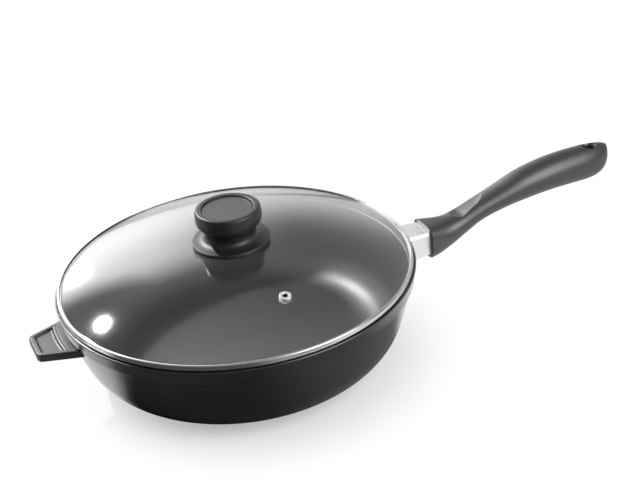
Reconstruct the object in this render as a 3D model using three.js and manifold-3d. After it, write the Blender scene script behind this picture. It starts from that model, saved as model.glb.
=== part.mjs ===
// A saute pan, 28 cm across the rim and 52 cm long, with a domed glass lid.
// Millimetres, +Z up. The origin is the centre of the base, on the table.
// The long handle points along +X and the short helper handle along -X.

import * as THREE from 'three';
import { mergeVertices } from 'three/addons/utils/BufferGeometryUtils.js';
import Module from 'manifold-3d';

const wasm = await Module();
wasm.setup();

// Clearances
const FIT_GAP = 0.3; // between pieces that touch
const LID_PLAY = 0.5; // around the lid, inside the rim
const OVERCUT = 1; // how far a cutter runs on past the face that it opens

// Pan body
const RIM_RADIUS = 143.8;
const PAN_HEIGHT = 74;
const RIM_LIP = 1.5; // thickness of the rim outside the lid
const RIM_EDGE = 0.8; // broken edge on top of the rim
const LID_SEAT_DEPTH = 2; // seat of the lid, below the top of the rim
const COLLAR_HEIGHT = 12; // upright band below the rim
const COLLAR_LEAN = 1.8; // how far the collar leans out over its height
const COLLAR_STEP = 1.4; // step from the collar in to the wall
const WALL_FLARE = 19.1; // how far the wall leans out from the table to the collar
const WALL_THICKNESS = 4.6;
const FLOOR_THICKNESS = 7;
const OUTER_ROUND = 43; // rounding from the base into the wall
const INNER_ROUND = 34; // rounding from the floor into the wall
const BASE_STEP = 2.5; // height of the turned foot of the base
const BASE_EDGE = 0.8; // broken edge of that foot

// Helper handle
const TAB_DROP = 13.6; // top of the helper handle, below the top of the rim
const TAB_REACH = 24.3; // from the rim to the tip
const TAB_TIP_WIDTH = 31;
const TAB_ROOT_WIDTH = 54;
const TAB_THICKNESS = 6.6;
const TAB_EDGE = 1.2; // rounding of the upper and lower edges
const TAB_CORNER = 5.5; // rounding of the tip's corners
const TAB_BORDER = 4.2; // border around the thumb recess
const TAB_ROOT_BORDER = 1.9; // from the rim to the recess
const TAB_ROOT_MARGIN = 6.4; // at each side of the root of the recess
const TAB_RECESS_CORNER = 1.6;
const TAB_RECESS_DEPTH = 1.3;

// Flame guard and the stub inside it
const GUARD_DROP = 12; // top of the guard at the grip, below the top of the rim
const GUARD_WIDTH = 26.3;
const GUARD_HEIGHT = 20.6;
const GUARD_GAUGE = 1;
const GUARD_BEVEL = 1.8; // broken corners of the square tube
const GUARD_FLARE = 1.4; // how much further out each side is at the rim than at the grip
const GUARD_REACH = 24.2; // bare length, from the rim to the mouth of the grip
const SOCKET_DEPTH = 8; // how far the guard goes into the grip

// Long handle: heights are from the axis of the stub, lengths from the mouth
const GRIP_LENGTH = 184;
const GRIP_TOP = [[0, 14.1], [12, 13.4], [22, 13.2], [28, 14.2], [34, 15.7], [40, 17.7], [46, 19.9],
  [54, 22.7], [62, 25.3], [72, 28.7], [94, 36.5], [118, 41.2], [142, 43.1], [GRIP_LENGTH, 42.8]];
const GRIP_BOTTOM = [[0, -14.5], [10, -14.1], [22, -10.7], [36, -4.3], [52, 3], [72, 7.9], [94, 10.7],
  [118, 12.5], [142, 12.5], [GRIP_LENGTH, 11.3]];
const GRIP_HALF_WIDTH = [[0, 17], [10, 16.2], [22, 14.6], [37, 12.6], [54, 12], [77, 13.3], [102, 14.8],
  [126, 15.2], [151, 14.3], [GRIP_LENGTH, 13.3]];
const MOUTH_CHAMFER = 1.5;
const MOUTH_SQUARENESS = 4; // exponent of the rounded-square section at the mouth
const PALM_SQUARENESS = 2.4; // exponent of the rounder section of the grip
const SQUARE_LENGTH = 36; // over which the section turns from one into the other
const TIP_LENGTH = 33; // over which the grip rounds off to its tip
const TIP_HEIGHT = 36.1;
const TIP_TOP_ROUND = 3.1; // exponents of that rounding: 2 is an ellipse, more is squarer
const TIP_BOTTOM_ROUND = 2;
const TIP_SIDE_ROUND = 2;
const SCOOP_FLOOR = [[20, 14], [27, 13.6], [32, 13.9], [36, 14.9], [40, 16.7], [45, 18.9], [51, 21.2],
  [56, 23.3], [60, 25.4], [64, 27.8]]; // thumb scoop cut across the top of the neck
const HANG_HOLE_INSET = 18; // from the tip to the axis of the hanging hole
const HANG_HOLE_RADIUS = 5;
const HANG_DISH_LENGTH = 18; // shallow dish around the hole
const HANG_DISH_WIDTH = 15;
const HANG_DISH_DEPTH = 2;
const HANG_DISH_SHIFT = 2.4; // from the hole's axis towards the pan

// Screw of the long handle
const SCREW_RADIUS = 3;
const SCREW_HEAD_RADIUS = 5;
const SCREW_HEAD_HEIGHT = 5;
const SCREW_SOCKET_RADIUS = 2.4; // hexagon socket, over its corners
const SCREW_SOCKET_DEPTH = 2.8;
const SCREW_GRIP = 12; // material of the handle between the stub and the lock washer
const SCREW_ENGAGEMENT = 18; // thread inside the stub
const LOCK_WASHER_THICKNESS = 1.6;
const LOCK_WASHER_SPLIT = 1.2;

// Lid
const GLASS_THICKNESS = 4.4;
const GLASS_FLANGE = 1.6; // flat border outside the dome, held by the rim band
const DOME_RISE = 24.2;
const BAND_GAUGE = 0.6;
const BAND_UPPER_LEG = 2.2; // how far the band reaches over the glass
const BAND_LOWER_LEG = 4.2; // how far it reaches under the glass

// Steam vent, on the dome
const VENT_AT = 88; // distance from the axis of the lid
const VENT_ANGLE = -84.7; // degrees around +Z from +X
const VENT_RADIUS = 2; // open steam hole
const VENT_TUBE = 0.8; // wall of the eyelet's tube
const VENT_FLANGE_RADIUS = 4.6;
const VENT_FLANGE_THICKNESS = 0.8;
const VENT_WASHER_THICKNESS = 0.8;
const VENT_ROLL_RADIUS = 4; // rolled lip under the washer
const VENT_ROLL_THICKNESS = 0.7;

// Knob: heights are from the bottom of its foot
const KNOB_FOOT_RADIUS = 31;
const KNOB_FOOT_EDGE = 3.2;
const KNOB_NECK_RADIUS = 20.3;
const KNOB_NECK_HEIGHT = 8.4; // height of the narrowest place
const KNOB_HEAD_RADIUS = 26.3;
const KNOB_HEAD_BULGE = 22.3; // height of the widest place of the head
const KNOB_HEIGHT = 29.9;
const KNOB_RIM_ROUND = 1.6; // rounding on top of the head
const CAP_RADIUS = 19.8;
const CAP_THICKNESS = 2;
const CAP_INSET = 1.4; // top of the cap, below the top of the head
const INSERT_RADIUS = 5;
const INSERT_LENGTH = 13;
const KNOB_SCREW_RADIUS = 2.4;
const KNOB_SCREW_HEAD_RADIUS = 5;
const KNOB_SCREW_HEAD_HEIGHT = 3.2;
const KNOB_SCREW_SLOT = 1.2;
const KNOB_SCREW_SLOT_DEPTH = 1.4;
const KNOB_SCREW_ENGAGEMENT = 10; // thread inside the insert
const KNOB_HOLE_RADIUS = 5; // hole in the glass
const SEAL_RADIUS = 11;
const SEAL_THICKNESS = 2;
const SEAL_COLLAR = 2.6; // length of the grommet's collar inside the hole
const KNOB_WASHER_RADIUS = 9;
const KNOB_WASHER_THICKNESS = 1.2;

// Facets
const RING_FACETS = 60; // around the pan and the lid
const KNOB_FACETS = 32;
const SMALL_FACETS = 16;
const HEX_SIDES = 6;
const ARC_STEPS = 3; // half the steps of each rounded stretch of a profile
const PALM_RINGS = 20; // along the grip, before its tip
const TIP_RINGS = 8;
const GRIP_FACETS = 24;
const MERGE_DISTANCE = 1e-4;

// Geometry reduced to its corners, as a solid that can be joined and cut.
function solidOf(geometry) {
  const bare = new THREE.BufferGeometry();
  bare.setAttribute('position', geometry.getAttribute('position'));
  bare.setIndex(geometry.getIndex());
  const merged = mergeVertices(bare, MERGE_DISTANCE);
  const corners = merged.getIndex().array;
  const triangles = [];
  for (let i = 0; i < corners.length; i += 3) {
    const [a, b, c] = corners.slice(i, i + 3);
    if (a !== b && b !== c && c !== a) triangles.push(a, b, c);
  }
  const vertProperties = merged.getAttribute('position').array;
  const triVerts = new Uint32Array(triangles);
  return new wasm.Manifold(new wasm.Mesh({ numProp: 3, vertProperties, triVerts }));
}

// A solid as geometry again.
function geometryOf(solid) {
  const mesh = solid.getMesh();
  const geometry = new THREE.BufferGeometry();
  geometry.setAttribute('position', new THREE.BufferAttribute(mesh.vertProperties, 3));
  geometry.setIndex(new THREE.BufferAttribute(mesh.triVerts, 1));
  geometry.computeVertexNormals();
  return geometry;
}

// One sub-part: its solid, its name and a material of its own.
function piece(name, solid, color, roughness, metalness) {
  const material = new THREE.MeshStandardMaterial({ color, roughness, metalness });
  const mesh = new THREE.Mesh(geometryOf(solid), material);
  mesh.name = name;
  return mesh;
}

// A profile of radius and height, turned around +Z.
function turned(profile, facets) {
  const geometry = new THREE.LatheGeometry(profile.getPoints(ARC_STEPS), facets);
  return solidOf(geometry.rotateX(Math.PI / 2));
}

// A profile from a list of corners, closed on itself or on the axis.
function profileOf(corners) {
  return new THREE.Path(corners.map(([radius, height]) => new THREE.Vector2(radius, height)));
}

// A closed ring of rectangular section.
function ring(inner, outer, low, high, facets) {
  return turned(profileOf([[inner, low], [outer, low], [outer, high], [inner, high], [inner, low]]), facets);
}

// A block from one corner to the other.
function block(low, high) {
  const [x, y, z] = high.map((value, i) => value - low[i]);
  const geometry = new THREE.BoxGeometry(x, y, z);
  return solidOf(geometry.translate(low[0] + x / 2, low[1] + y / 2, low[2] + z / 2));
}

// A round bar along +X.
function barAlongX(radius, from, to, height, facets = SMALL_FACETS) {
  const geometry = new THREE.CylinderGeometry(radius, radius, to - from, facets);
  return solidOf(geometry.rotateZ(-Math.PI / 2).translate((from + to) / 2, 0, height));
}

// A plan outline with rounded corners: each entry is x, y and the length cut off the corner.
function roundedPlan(corners) {
  const shape = new THREE.Shape();
  corners.forEach(([x, y, round], i) => {
    const corner = new THREE.Vector2(x, y);
    const [fromX, fromY] = corners[(i + corners.length - 1) % corners.length];
    const [toX, toY] = corners[(i + 1) % corners.length];
    const arrive = corner.clone().add(new THREE.Vector2(fromX - x, fromY - y).setLength(round));
    const leave = corner.clone().add(new THREE.Vector2(toX - x, toY - y).setLength(round));
    if (i === 0) shape.moveTo(arrive.x, arrive.y);
    else shape.lineTo(arrive.x, arrive.y);
    if (round > 0) shape.quadraticCurveTo(x, y, leave.x, leave.y);
  });
  return shape;
}

// A plan outline raised from one height to another, with its upper and lower edges rounded if asked.
function raised(shape, low, high, edge = 0) {
  const geometry = new THREE.ExtrudeGeometry(shape, {
    depth: high - low - 2 * edge, bevelEnabled: edge > 0, bevelThickness: edge, bevelSize: edge,
    bevelOffset: -edge, bevelSegments: ARC_STEPS, curveSegments: 2 * ARC_STEPS,
  });
  return solidOf(geometry.translate(0, 0, low + edge));
}

// A smooth curve through stations of position and value, read at one position.
function smoothAt(stations, at) {
  const last = stations.length - 1;
  const i = Math.min(last - 1, Math.max(0, stations.findIndex(([x]) => x > at) - 1));
  const k = stations[last][0] <= at ? last - 1 : i;
  const slope = (n) => {
    const [x0, y0] = stations[Math.max(0, n - 1)];
    const [x1, y1] = stations[Math.min(last, n + 1)];
    return (y1 - y0) / (x1 - x0);
  };
  const [x0, y0] = stations[k];
  const [x1, y1] = stations[k + 1];
  const t = (at - x0) / (x1 - x0);
  const span = x1 - x0;
  const rise = y1 - y0;
  return y0 + t * span * slope(k)
    + t * t * (3 * rise - span * (2 * slope(k) + slope(k + 1)))
    + t * t * t * (span * (slope(k) + slope(k + 1)) - 2 * rise);
}

// Levels and radii that several pieces share
const collarBottom = PAN_HEIGHT - COLLAR_HEIGHT;
const wallTopRadius = RIM_RADIUS - COLLAR_LEAN - COLLAR_STEP;
const baseCorner = wallTopRadius - WALL_FLARE; // where the wall's line meets the table
const wallAngle = Math.atan2(WALL_FLARE, collarBottom);
const cornerHalf = Math.tan((Math.PI / 2 + wallAngle) / 2);
const lidSeat = PAN_HEIGHT - LID_SEAT_DEPTH;
const bandRadius = RIM_RADIUS - RIM_LIP - LID_PLAY;
const bandBottom = lidSeat + FIT_GAP;
const glassBottom = bandBottom + BAND_GAUGE + FIT_GAP;
const glassTop = glassBottom + GLASS_THICKNESS;
const bandTop = glassTop + FIT_GAP + BAND_GAUGE;
const glassRadius = bandRadius - BAND_GAUGE - FIT_GAP;
const domeFoot = glassRadius - GLASS_FLANGE;
const domeRadius = (domeFoot ** 2 + DOME_RISE ** 2) / (2 * DOME_RISE);
const innerDomeRadius = domeRadius - GLASS_THICKNESS;
const domeCentre = glassTop + DOME_RISE - domeRadius;
const domeHeight = (radius) => domeCentre + Math.sqrt(domeRadius ** 2 - radius ** 2);

const stubAxis = PAN_HEIGHT - GUARD_DROP - GUARD_HEIGHT / 2;
const gripMouth = RIM_RADIUS + GUARD_REACH;
const stubEnd = gripMouth + SOCKET_DEPTH;
const screwSeat = stubEnd + FIT_GAP + SCREW_GRIP;
const tipStart = GRIP_LENGTH - TIP_LENGTH;
const hangHoleAt = GRIP_LENGTH - HANG_HOLE_INSET;
const ventHole = VENT_RADIUS + VENT_TUBE + FIT_GAP;

// The outside of the pan as a filled solid, grown outwards where a neighbour is cut to it.
function panOutside(grown) {
  const footRadius = baseCorner - OUTER_ROUND / cornerHalf;
  const arcStart = Math.asin((BASE_STEP - OUTER_ROUND) / OUTER_ROUND);
  const stepRadius = footRadius + OUTER_ROUND * Math.cos(arcStart);
  const profile = new THREE.Path();
  profile.moveTo(0, 0);
  profile.lineTo(stepRadius - BASE_EDGE + grown, 0);
  profile.lineTo(stepRadius + grown, BASE_EDGE);
  profile.lineTo(stepRadius + grown, BASE_STEP);
  profile.absarc(footRadius + grown, OUTER_ROUND, OUTER_ROUND, arcStart, -wallAngle, false);
  profile.lineTo(wallTopRadius + grown, collarBottom);
  profile.lineTo(wallTopRadius + COLLAR_STEP + grown, collarBottom + COLLAR_STEP);
  profile.lineTo(RIM_RADIUS + grown, PAN_HEIGHT - RIM_EDGE);
  profile.lineTo(RIM_RADIUS - RIM_EDGE + grown, PAN_HEIGHT);
  profile.lineTo(0, PAN_HEIGHT);
  return turned(profile, RING_FACETS);
}

// The space inside the pan, with the seat for the lid, carried up past the rim.
function panInside() {
  const lean = Math.tan(wallAngle);
  const innerLine = baseCorner - WALL_THICKNESS / Math.cos(wallAngle);
  const innerCorner = innerLine + FLOOR_THICKNESS * lean;
  const arcRadius = innerCorner - INNER_ROUND / cornerHalf;
  const seatOuter = bandRadius + LID_PLAY;
  const profile = new THREE.Path();
  profile.moveTo(0, FLOOR_THICKNESS);
  profile.lineTo(arcRadius, FLOOR_THICKNESS);
  profile.absarc(arcRadius, FLOOR_THICKNESS + INNER_ROUND, INNER_ROUND, -Math.PI / 2, -wallAngle, false);
  profile.lineTo(innerLine + lidSeat * lean, lidSeat);
  profile.lineTo(seatOuter, lidSeat);
  profile.lineTo(seatOuter, PAN_HEIGHT + RIM_LIP);
  profile.lineTo(0, PAN_HEIGHT + RIM_LIP);
  return turned(profile, RING_FACETS);
}

// Helper handle: a tapered tab with rounded edges, and a thumb recess that ends along the rim's curve.
function helperTab() {
  const top = PAN_HEIGHT - TAB_DROP;
  const tip = -RIM_RADIUS - TAB_REACH;
  const root = -wallTopRadius + WALL_THICKNESS;
  const tipHalf = TAB_TIP_WIDTH / 2;
  const rootHalf = TAB_ROOT_WIDTH / 2;
  const plan = roundedPlan([
    [root, -rootHalf, 0], [root, rootHalf, 0], [tip, tipHalf, TAB_CORNER], [tip, -tipHalf, TAB_CORNER],
  ]);
  const tab = raised(plan, top - TAB_THICKNESS, top, TAB_EDGE);

  const recessTip = tip + TAB_BORDER;
  const recessTipHalf = tipHalf - TAB_BORDER;
  const recessRootHalf = rootHalf - TAB_ROOT_MARGIN;
  const recessPlan = roundedPlan([
    [-RIM_RADIUS, -recessRootHalf, 0], [-RIM_RADIUS, recessRootHalf, 0],
    [recessTip, recessTipHalf, TAB_RECESS_CORNER], [recessTip, -recessTipHalf, TAB_RECESS_CORNER],
  ]);
  const floor = top - TAB_RECESS_DEPTH;
  const kept = RIM_RADIUS + TAB_ROOT_BORDER;
  const rimSide = turned(profileOf([
    [0, floor - OVERCUT], [kept, floor - OVERCUT], [kept, top + 2 * OVERCUT], [0, top + 2 * OVERCUT],
  ]), RING_FACETS);
  return tab.subtract(raised(recessPlan, floor, top + OVERCUT).subtract(rimSide));
}

// Square tube section with broken corners, inset evenly, between two places along +X.
// It widens towards the pan.
function squareBar(inset, from, to) {
  const halfWidth = GUARD_WIDTH / 2 - inset;
  const halfHeight = GUARD_HEIGHT / 2 - inset;
  const bevel = Math.max(GUARD_BEVEL - inset, 0);
  const section = new THREE.Shape();
  section.moveTo(halfWidth, -halfHeight + bevel);
  section.lineTo(halfWidth, halfHeight - bevel);
  if (bevel > 0) section.lineTo(halfWidth - bevel, halfHeight);
  section.lineTo(-halfWidth + bevel, halfHeight);
  if (bevel > 0) section.lineTo(-halfWidth, halfHeight - bevel);
  section.lineTo(-halfWidth, -halfHeight + bevel);
  if (bevel > 0) section.lineTo(-halfWidth + bevel, -halfHeight);
  section.lineTo(halfWidth - bevel, -halfHeight);
  const geometry = new THREE.ExtrudeGeometry(section, { depth: to - from, bevelEnabled: false });
  geometry.rotateX(Math.PI / 2).rotateZ(Math.PI / 2).translate(from, 0, 0);
  const position = geometry.getAttribute('position');
  for (let i = 0; i < position.count; i += 1) {
    const [x, y, z] = [position.getX(i), position.getY(i), position.getZ(i)];
    const spread = GUARD_FLARE * (gripMouth - x) / GUARD_REACH;
    position.setXYZ(i, x, y + Math.sign(y) * spread, stubAxis + z + Math.sign(z) * spread);
  }
  return solidOf(geometry);
}

// Pan body: the vessel with its helper handle and the stub of the long handle, in one casting.
function panBody() {
  const stub = squareBar(GUARD_GAUGE + FIT_GAP, baseCorner, stubEnd);
  const holeEnd = stubEnd - SCREW_ENGAGEMENT - SCREW_RADIUS;
  const hole = barAlongX(SCREW_RADIUS + FIT_GAP, holeEnd, stubEnd + OVERCUT, stubAxis);
  return panOutside(0).add(helperTab()).add(stub).subtract(hole).subtract(panInside());
}

// Flame guard: a square sleeve over the stub, cut to the curve of the wall.
function flameGuard() {
  const sleeve = squareBar(0, baseCorner, stubEnd);
  const bore = squareBar(GUARD_GAUGE, baseCorner - OVERCUT, stubEnd + OVERCUT);
  return sleeve.subtract(bore).subtract(panOutside(FIT_GAP));
}

// How much of the grip's section is left at a place along it: all of it, and less over the tip.
function leftAt(along, round) {
  const step = THREE.MathUtils.clamp((along - tipStart) / TIP_LENGTH, 0, 1);
  return (1 - step ** round) ** (1 / round);
}

// Height of the grip's top at a place along it.
function gripTopAt(along) {
  return TIP_HEIGHT + (smoothAt(GRIP_TOP, along) - TIP_HEIGHT) * leftAt(along, TIP_TOP_ROUND);
}

// Height of the grip's underside at a place along it.
function gripBottomAt(along) {
  return TIP_HEIGHT + (smoothAt(GRIP_BOTTOM, along) - TIP_HEIGHT) * leftAt(along, TIP_BOTTOM_ROUND);
}

// Place of a ring along the grip: the mouth, its chamfer, even steps, and closer ones over the tip.
function ringPlace(ringNumber) {
  if (ringNumber === 0) return 0;
  const step = (ringNumber - 1) / PALM_RINGS;
  if (step <= 1) return MOUTH_CHAMFER + (tipStart - MOUTH_CHAMFER) * step;
  return tipStart + TIP_LENGTH * Math.sin((ringNumber - 1 - PALM_RINGS) / TIP_RINGS * Math.PI / 2);
}

// The grip's outside: a round bar whose rings follow the handle's top, bottom and width.
function gripOutside() {
  const rings = 1 + PALM_RINGS + TIP_RINGS;
  const geometry = new THREE.CylinderGeometry(1, 1, rings, GRIP_FACETS, rings);
  const position = geometry.getAttribute('position');
  const power = (value, exponent) => Math.sign(value) * Math.abs(value) ** (2 / exponent);
  for (let i = 0; i < position.count; i += 1) {
    const along = ringPlace(Math.round(position.getY(i) + rings / 2));
    const inset = Math.max(0, MOUTH_CHAMFER - along);
    const top = gripTopAt(along) - inset;
    const bottom = gripBottomAt(along) + inset;
    const halfWidth = smoothAt(GRIP_HALF_WIDTH, along) * leftAt(along, TIP_SIDE_ROUND) - inset;
    const rounder = Math.min(along / SQUARE_LENGTH, 1);
    const exponent = MOUTH_SQUARENESS + (PALM_SQUARENESS - MOUTH_SQUARENESS) * rounder;
    const across = halfWidth * power(position.getZ(i), exponent);
    const up = (top + bottom) / 2 + (top - bottom) / 2 * power(position.getX(i), exponent);
    position.setXYZ(i, gripMouth + along, across, stubAxis + up);
  }
  return solidOf(geometry);
}

// The thumb scoop's cutter: everything above its floor, across the whole width of the grip.
function thumbScoop() {
  const place = ([along, height]) => new THREE.Vector2(gripMouth + along, stubAxis + height);
  const [first, ...others] = SCOOP_FLOOR.map(place);
  const ceiling = stubAxis + TIP_HEIGHT;
  const width = 2 * Math.max(...GRIP_HALF_WIDTH.map(([, half]) => half));
  const shape = new THREE.Shape();
  shape.moveTo(first.x, ceiling);
  shape.lineTo(first.x, first.y);
  shape.splineThru(others);
  shape.lineTo(others[others.length - 1].x, ceiling);
  const geometry = new THREE.ExtrudeGeometry(shape, {
    depth: width, bevelEnabled: false, curveSegments: ARC_STEPS,
  });
  return solidOf(geometry.rotateX(Math.PI / 2).translate(0, width / 2, 0));
}

// Long handle: the grip with its socket, screw hole, thumb scoop and hanging hole.
function handleGrip() {
  const socket = squareBar(-FIT_GAP, gripMouth - OVERCUT, stubEnd + FIT_GAP);
  const screwHole = barAlongX(SCREW_RADIUS + FIT_GAP, stubEnd, screwSeat + OVERCUT, stubAxis);
  const gripEnd = gripMouth + GRIP_LENGTH;
  const screwWell = barAlongX(SCREW_HEAD_RADIUS + FIT_GAP, screwSeat, gripEnd, stubAxis);

  const holeTop = stubAxis + gripTopAt(hangHoleAt);
  const holeX = gripMouth + hangHoleAt;
  const hangHole = new THREE.CylinderGeometry(
    HANG_HOLE_RADIUS, HANG_HOLE_RADIUS, 2 * GRIP_LENGTH, SMALL_FACETS,
  );
  hangHole.rotateX(Math.PI / 2).translate(holeX, 0, holeTop);
  const dish = new THREE.SphereGeometry(1, SMALL_FACETS, SMALL_FACETS / 2);
  dish.scale(HANG_DISH_LENGTH / 2, HANG_DISH_WIDTH / 2, HANG_DISH_DEPTH);
  dish.translate(holeX - HANG_DISH_SHIFT, 0, holeTop);

  const cuts = [socket, screwHole, screwWell, thumbScoop(), solidOf(hangHole), solidOf(dish)];
  return cuts.reduce((grip, cut) => grip.subtract(cut), gripOutside());
}

// Screw of the long handle, with a hexagon socket in its head.
function handleScrew() {
  const headBottom = screwSeat + FIT_GAP + LOCK_WASHER_THICKNESS + FIT_GAP;
  const headTop = headBottom + SCREW_HEAD_HEIGHT;
  const shank = barAlongX(SCREW_RADIUS, stubEnd - SCREW_ENGAGEMENT, headBottom + OVERCUT, stubAxis);
  const head = barAlongX(SCREW_HEAD_RADIUS, headBottom, headTop, stubAxis);
  const socketEnd = headTop - SCREW_SOCKET_DEPTH;
  const socket = barAlongX(SCREW_SOCKET_RADIUS, socketEnd, headTop + OVERCUT, stubAxis, HEX_SIDES);
  return shank.add(head).subtract(socket);
}

// Split spring washer under the head of that screw.
function handleLockWasher() {
  const low = screwSeat + FIT_GAP;
  const high = low + LOCK_WASHER_THICKNESS;
  const disc = barAlongX(SCREW_HEAD_RADIUS, low, high, stubAxis);
  const hole = barAlongX(SCREW_RADIUS + FIT_GAP, low - OVERCUT, high + OVERCUT, stubAxis);
  const half = LOCK_WASHER_SPLIT / 2;
  const splitTop = stubAxis + SCREW_HEAD_RADIUS + OVERCUT;
  const split = block([low - OVERCUT, -half, stubAxis], [high + OVERCUT, half, splitTop]);
  return disc.subtract(hole).subtract(split);
}

// Lid glass: a dome of even thickness with a flat border.
function lidGlass(ventPlace) {
  const angleAt = (height, radius) => Math.asin((height - domeCentre) / radius);
  const holeAngle = (radius) => Math.acos(KNOB_HOLE_RADIUS / radius);
  const profile = new THREE.Path();
  const innerFoot = angleAt(glassBottom, innerDomeRadius);
  profile.absarc(0, domeCentre, innerDomeRadius, holeAngle(innerDomeRadius), innerFoot, true);
  profile.lineTo(glassRadius, glassBottom);
  profile.lineTo(glassRadius, glassTop);
  profile.absarc(0, domeCentre, domeRadius, angleAt(glassTop, domeRadius), holeAngle(domeRadius), false);
  profile.closePath();
  const hole = new THREE.CylinderGeometry(ventHole, ventHole, 4 * GLASS_THICKNESS, SMALL_FACETS);
  hole.rotateX(Math.PI / 2).applyMatrix4(ventPlace);
  return turned(profile, RING_FACETS).subtract(solidOf(hole));
}

// Rim band: a steel channel rolled over the edge of the glass.
function lidRimBand() {
  const upperEnd = bandRadius - BAND_UPPER_LEG;
  const lowerEnd = bandRadius - BAND_LOWER_LEG;
  const webInside = bandRadius - BAND_GAUGE;
  return turned(profileOf([
    [lowerEnd, bandBottom], [bandRadius, bandBottom], [bandRadius, bandTop], [upperEnd, bandTop],
    [upperEnd, bandTop - BAND_GAUGE], [webInside, bandTop - BAND_GAUGE],
    [webInside, bandBottom + BAND_GAUGE], [lowerEnd, bandBottom + BAND_GAUGE], [lowerEnd, bandBottom],
  ]), RING_FACETS);
}

// Heights along the axis of the vent, from the outside of the glass
const ventWasherTop = -GLASS_THICKNESS - FIT_GAP;
const ventWasherBottom = ventWasherTop - VENT_WASHER_THICKNESS;
const ventRollTop = ventWasherBottom - FIT_GAP;
const ventRollBottom = ventRollTop - VENT_ROLL_THICKNESS;

// Vent eyelet: a flanged tube through the glass, rolled out below the washer.
function ventEyelet() {
  const tube = VENT_RADIUS + VENT_TUBE;
  const flangeTop = FIT_GAP + VENT_FLANGE_THICKNESS;
  return turned(profileOf([
    [VENT_RADIUS, ventRollBottom], [VENT_ROLL_RADIUS, ventRollBottom], [VENT_ROLL_RADIUS, ventRollTop],
    [tube, ventRollTop], [tube, FIT_GAP], [VENT_FLANGE_RADIUS, FIT_GAP],
    [VENT_FLANGE_RADIUS - VENT_FLANGE_THICKNESS / 2, flangeTop],
    [VENT_RADIUS + VENT_FLANGE_THICKNESS / 2, flangeTop], [VENT_RADIUS, FIT_GAP],
    [VENT_RADIUS, ventRollBottom],
  ]), SMALL_FACETS);
}

// Levels of the knob's stack, on the axis of the lid
const knobFoot = domeHeight(KNOB_FOOT_RADIUS) + FIT_GAP;
const upperSealBottom = domeHeight(KNOB_HOLE_RADIUS) + FIT_GAP;
const knobCeiling = upperSealBottom + SEAL_THICKNESS + FIT_GAP;
const glassUnderside = domeHeight(0) - GLASS_THICKNESS;
const sealHollow = SEAL_RADIUS + 2 * FIT_GAP;
const lowerSealTop = domeCentre + Math.sqrt(innerDomeRadius ** 2 - SEAL_RADIUS ** 2) - FIT_GAP;
const lowerSealBottom = lowerSealTop - SEAL_THICKNESS;
const washerTop = lowerSealBottom - FIT_GAP;
const washerBottom = washerTop - KNOB_WASHER_THICKNESS;
const screwHeadTop = washerBottom - FIT_GAP;
const screwHole = KNOB_SCREW_RADIUS + FIT_GAP;

// Knob: a wide foot hollowed for the seal, a waist and a mushroom head with a dished top.
function knobBody() {
  const top = knobFoot + KNOB_HEIGHT;
  const neck = knobFoot + KNOB_NECK_HEIGHT;
  const bulge = knobFoot + KNOB_HEAD_BULGE;
  const footTop = knobFoot + KNOB_FOOT_EDGE;
  const pocket = top - CAP_INSET - CAP_THICKNESS - FIT_GAP;
  const rimOuter = KNOB_HEAD_RADIUS - KNOB_RIM_ROUND;
  const flare = KNOB_HEAD_RADIUS - KNOB_NECK_RADIUS;
  const profile = new THREE.Path();
  profile.moveTo(0, knobCeiling + INSERT_LENGTH + FIT_GAP);
  profile.lineTo(INSERT_RADIUS + FIT_GAP, knobCeiling + INSERT_LENGTH + FIT_GAP);
  profile.lineTo(INSERT_RADIUS + FIT_GAP, knobCeiling);
  profile.lineTo(sealHollow, knobCeiling);
  profile.lineTo(sealHollow, domeHeight(sealHollow) + FIT_GAP);
  profile.lineTo(KNOB_FOOT_RADIUS, knobFoot);
  profile.lineTo(KNOB_FOOT_RADIUS, footTop - KNOB_RIM_ROUND / 2);
  profile.lineTo(KNOB_FOOT_RADIUS - KNOB_RIM_ROUND / 2, footTop);
  profile.quadraticCurveTo(KNOB_NECK_RADIUS, (footTop + neck) / 2, KNOB_NECK_RADIUS, neck);
  profile.bezierCurveTo(KNOB_NECK_RADIUS, neck + flare / 2, KNOB_HEAD_RADIUS, neck + flare / 2,
    KNOB_HEAD_RADIUS, bulge);
  profile.lineTo(KNOB_HEAD_RADIUS - KNOB_RIM_ROUND / 4, top - KNOB_RIM_ROUND);
  profile.lineTo(rimOuter, top);
  profile.lineTo(CAP_RADIUS + FIT_GAP + KNOB_RIM_ROUND / 4, top);
  profile.lineTo(CAP_RADIUS + FIT_GAP, top - KNOB_RIM_ROUND / 4);
  profile.lineTo(CAP_RADIUS + FIT_GAP, pocket);
  profile.lineTo(0, pocket);
  return turned(profile, KNOB_FACETS);
}

// Knob cap: a flat disc set into the head.
function knobCap() {
  const top = knobFoot + KNOB_HEIGHT - CAP_INSET;
  const edge = KNOB_RIM_ROUND / 4;
  return turned(profileOf([
    [0, top - CAP_THICKNESS], [CAP_RADIUS, top - CAP_THICKNESS], [CAP_RADIUS, top - edge],
    [CAP_RADIUS - edge, top], [0, top],
  ]), KNOB_FACETS);
}

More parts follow.
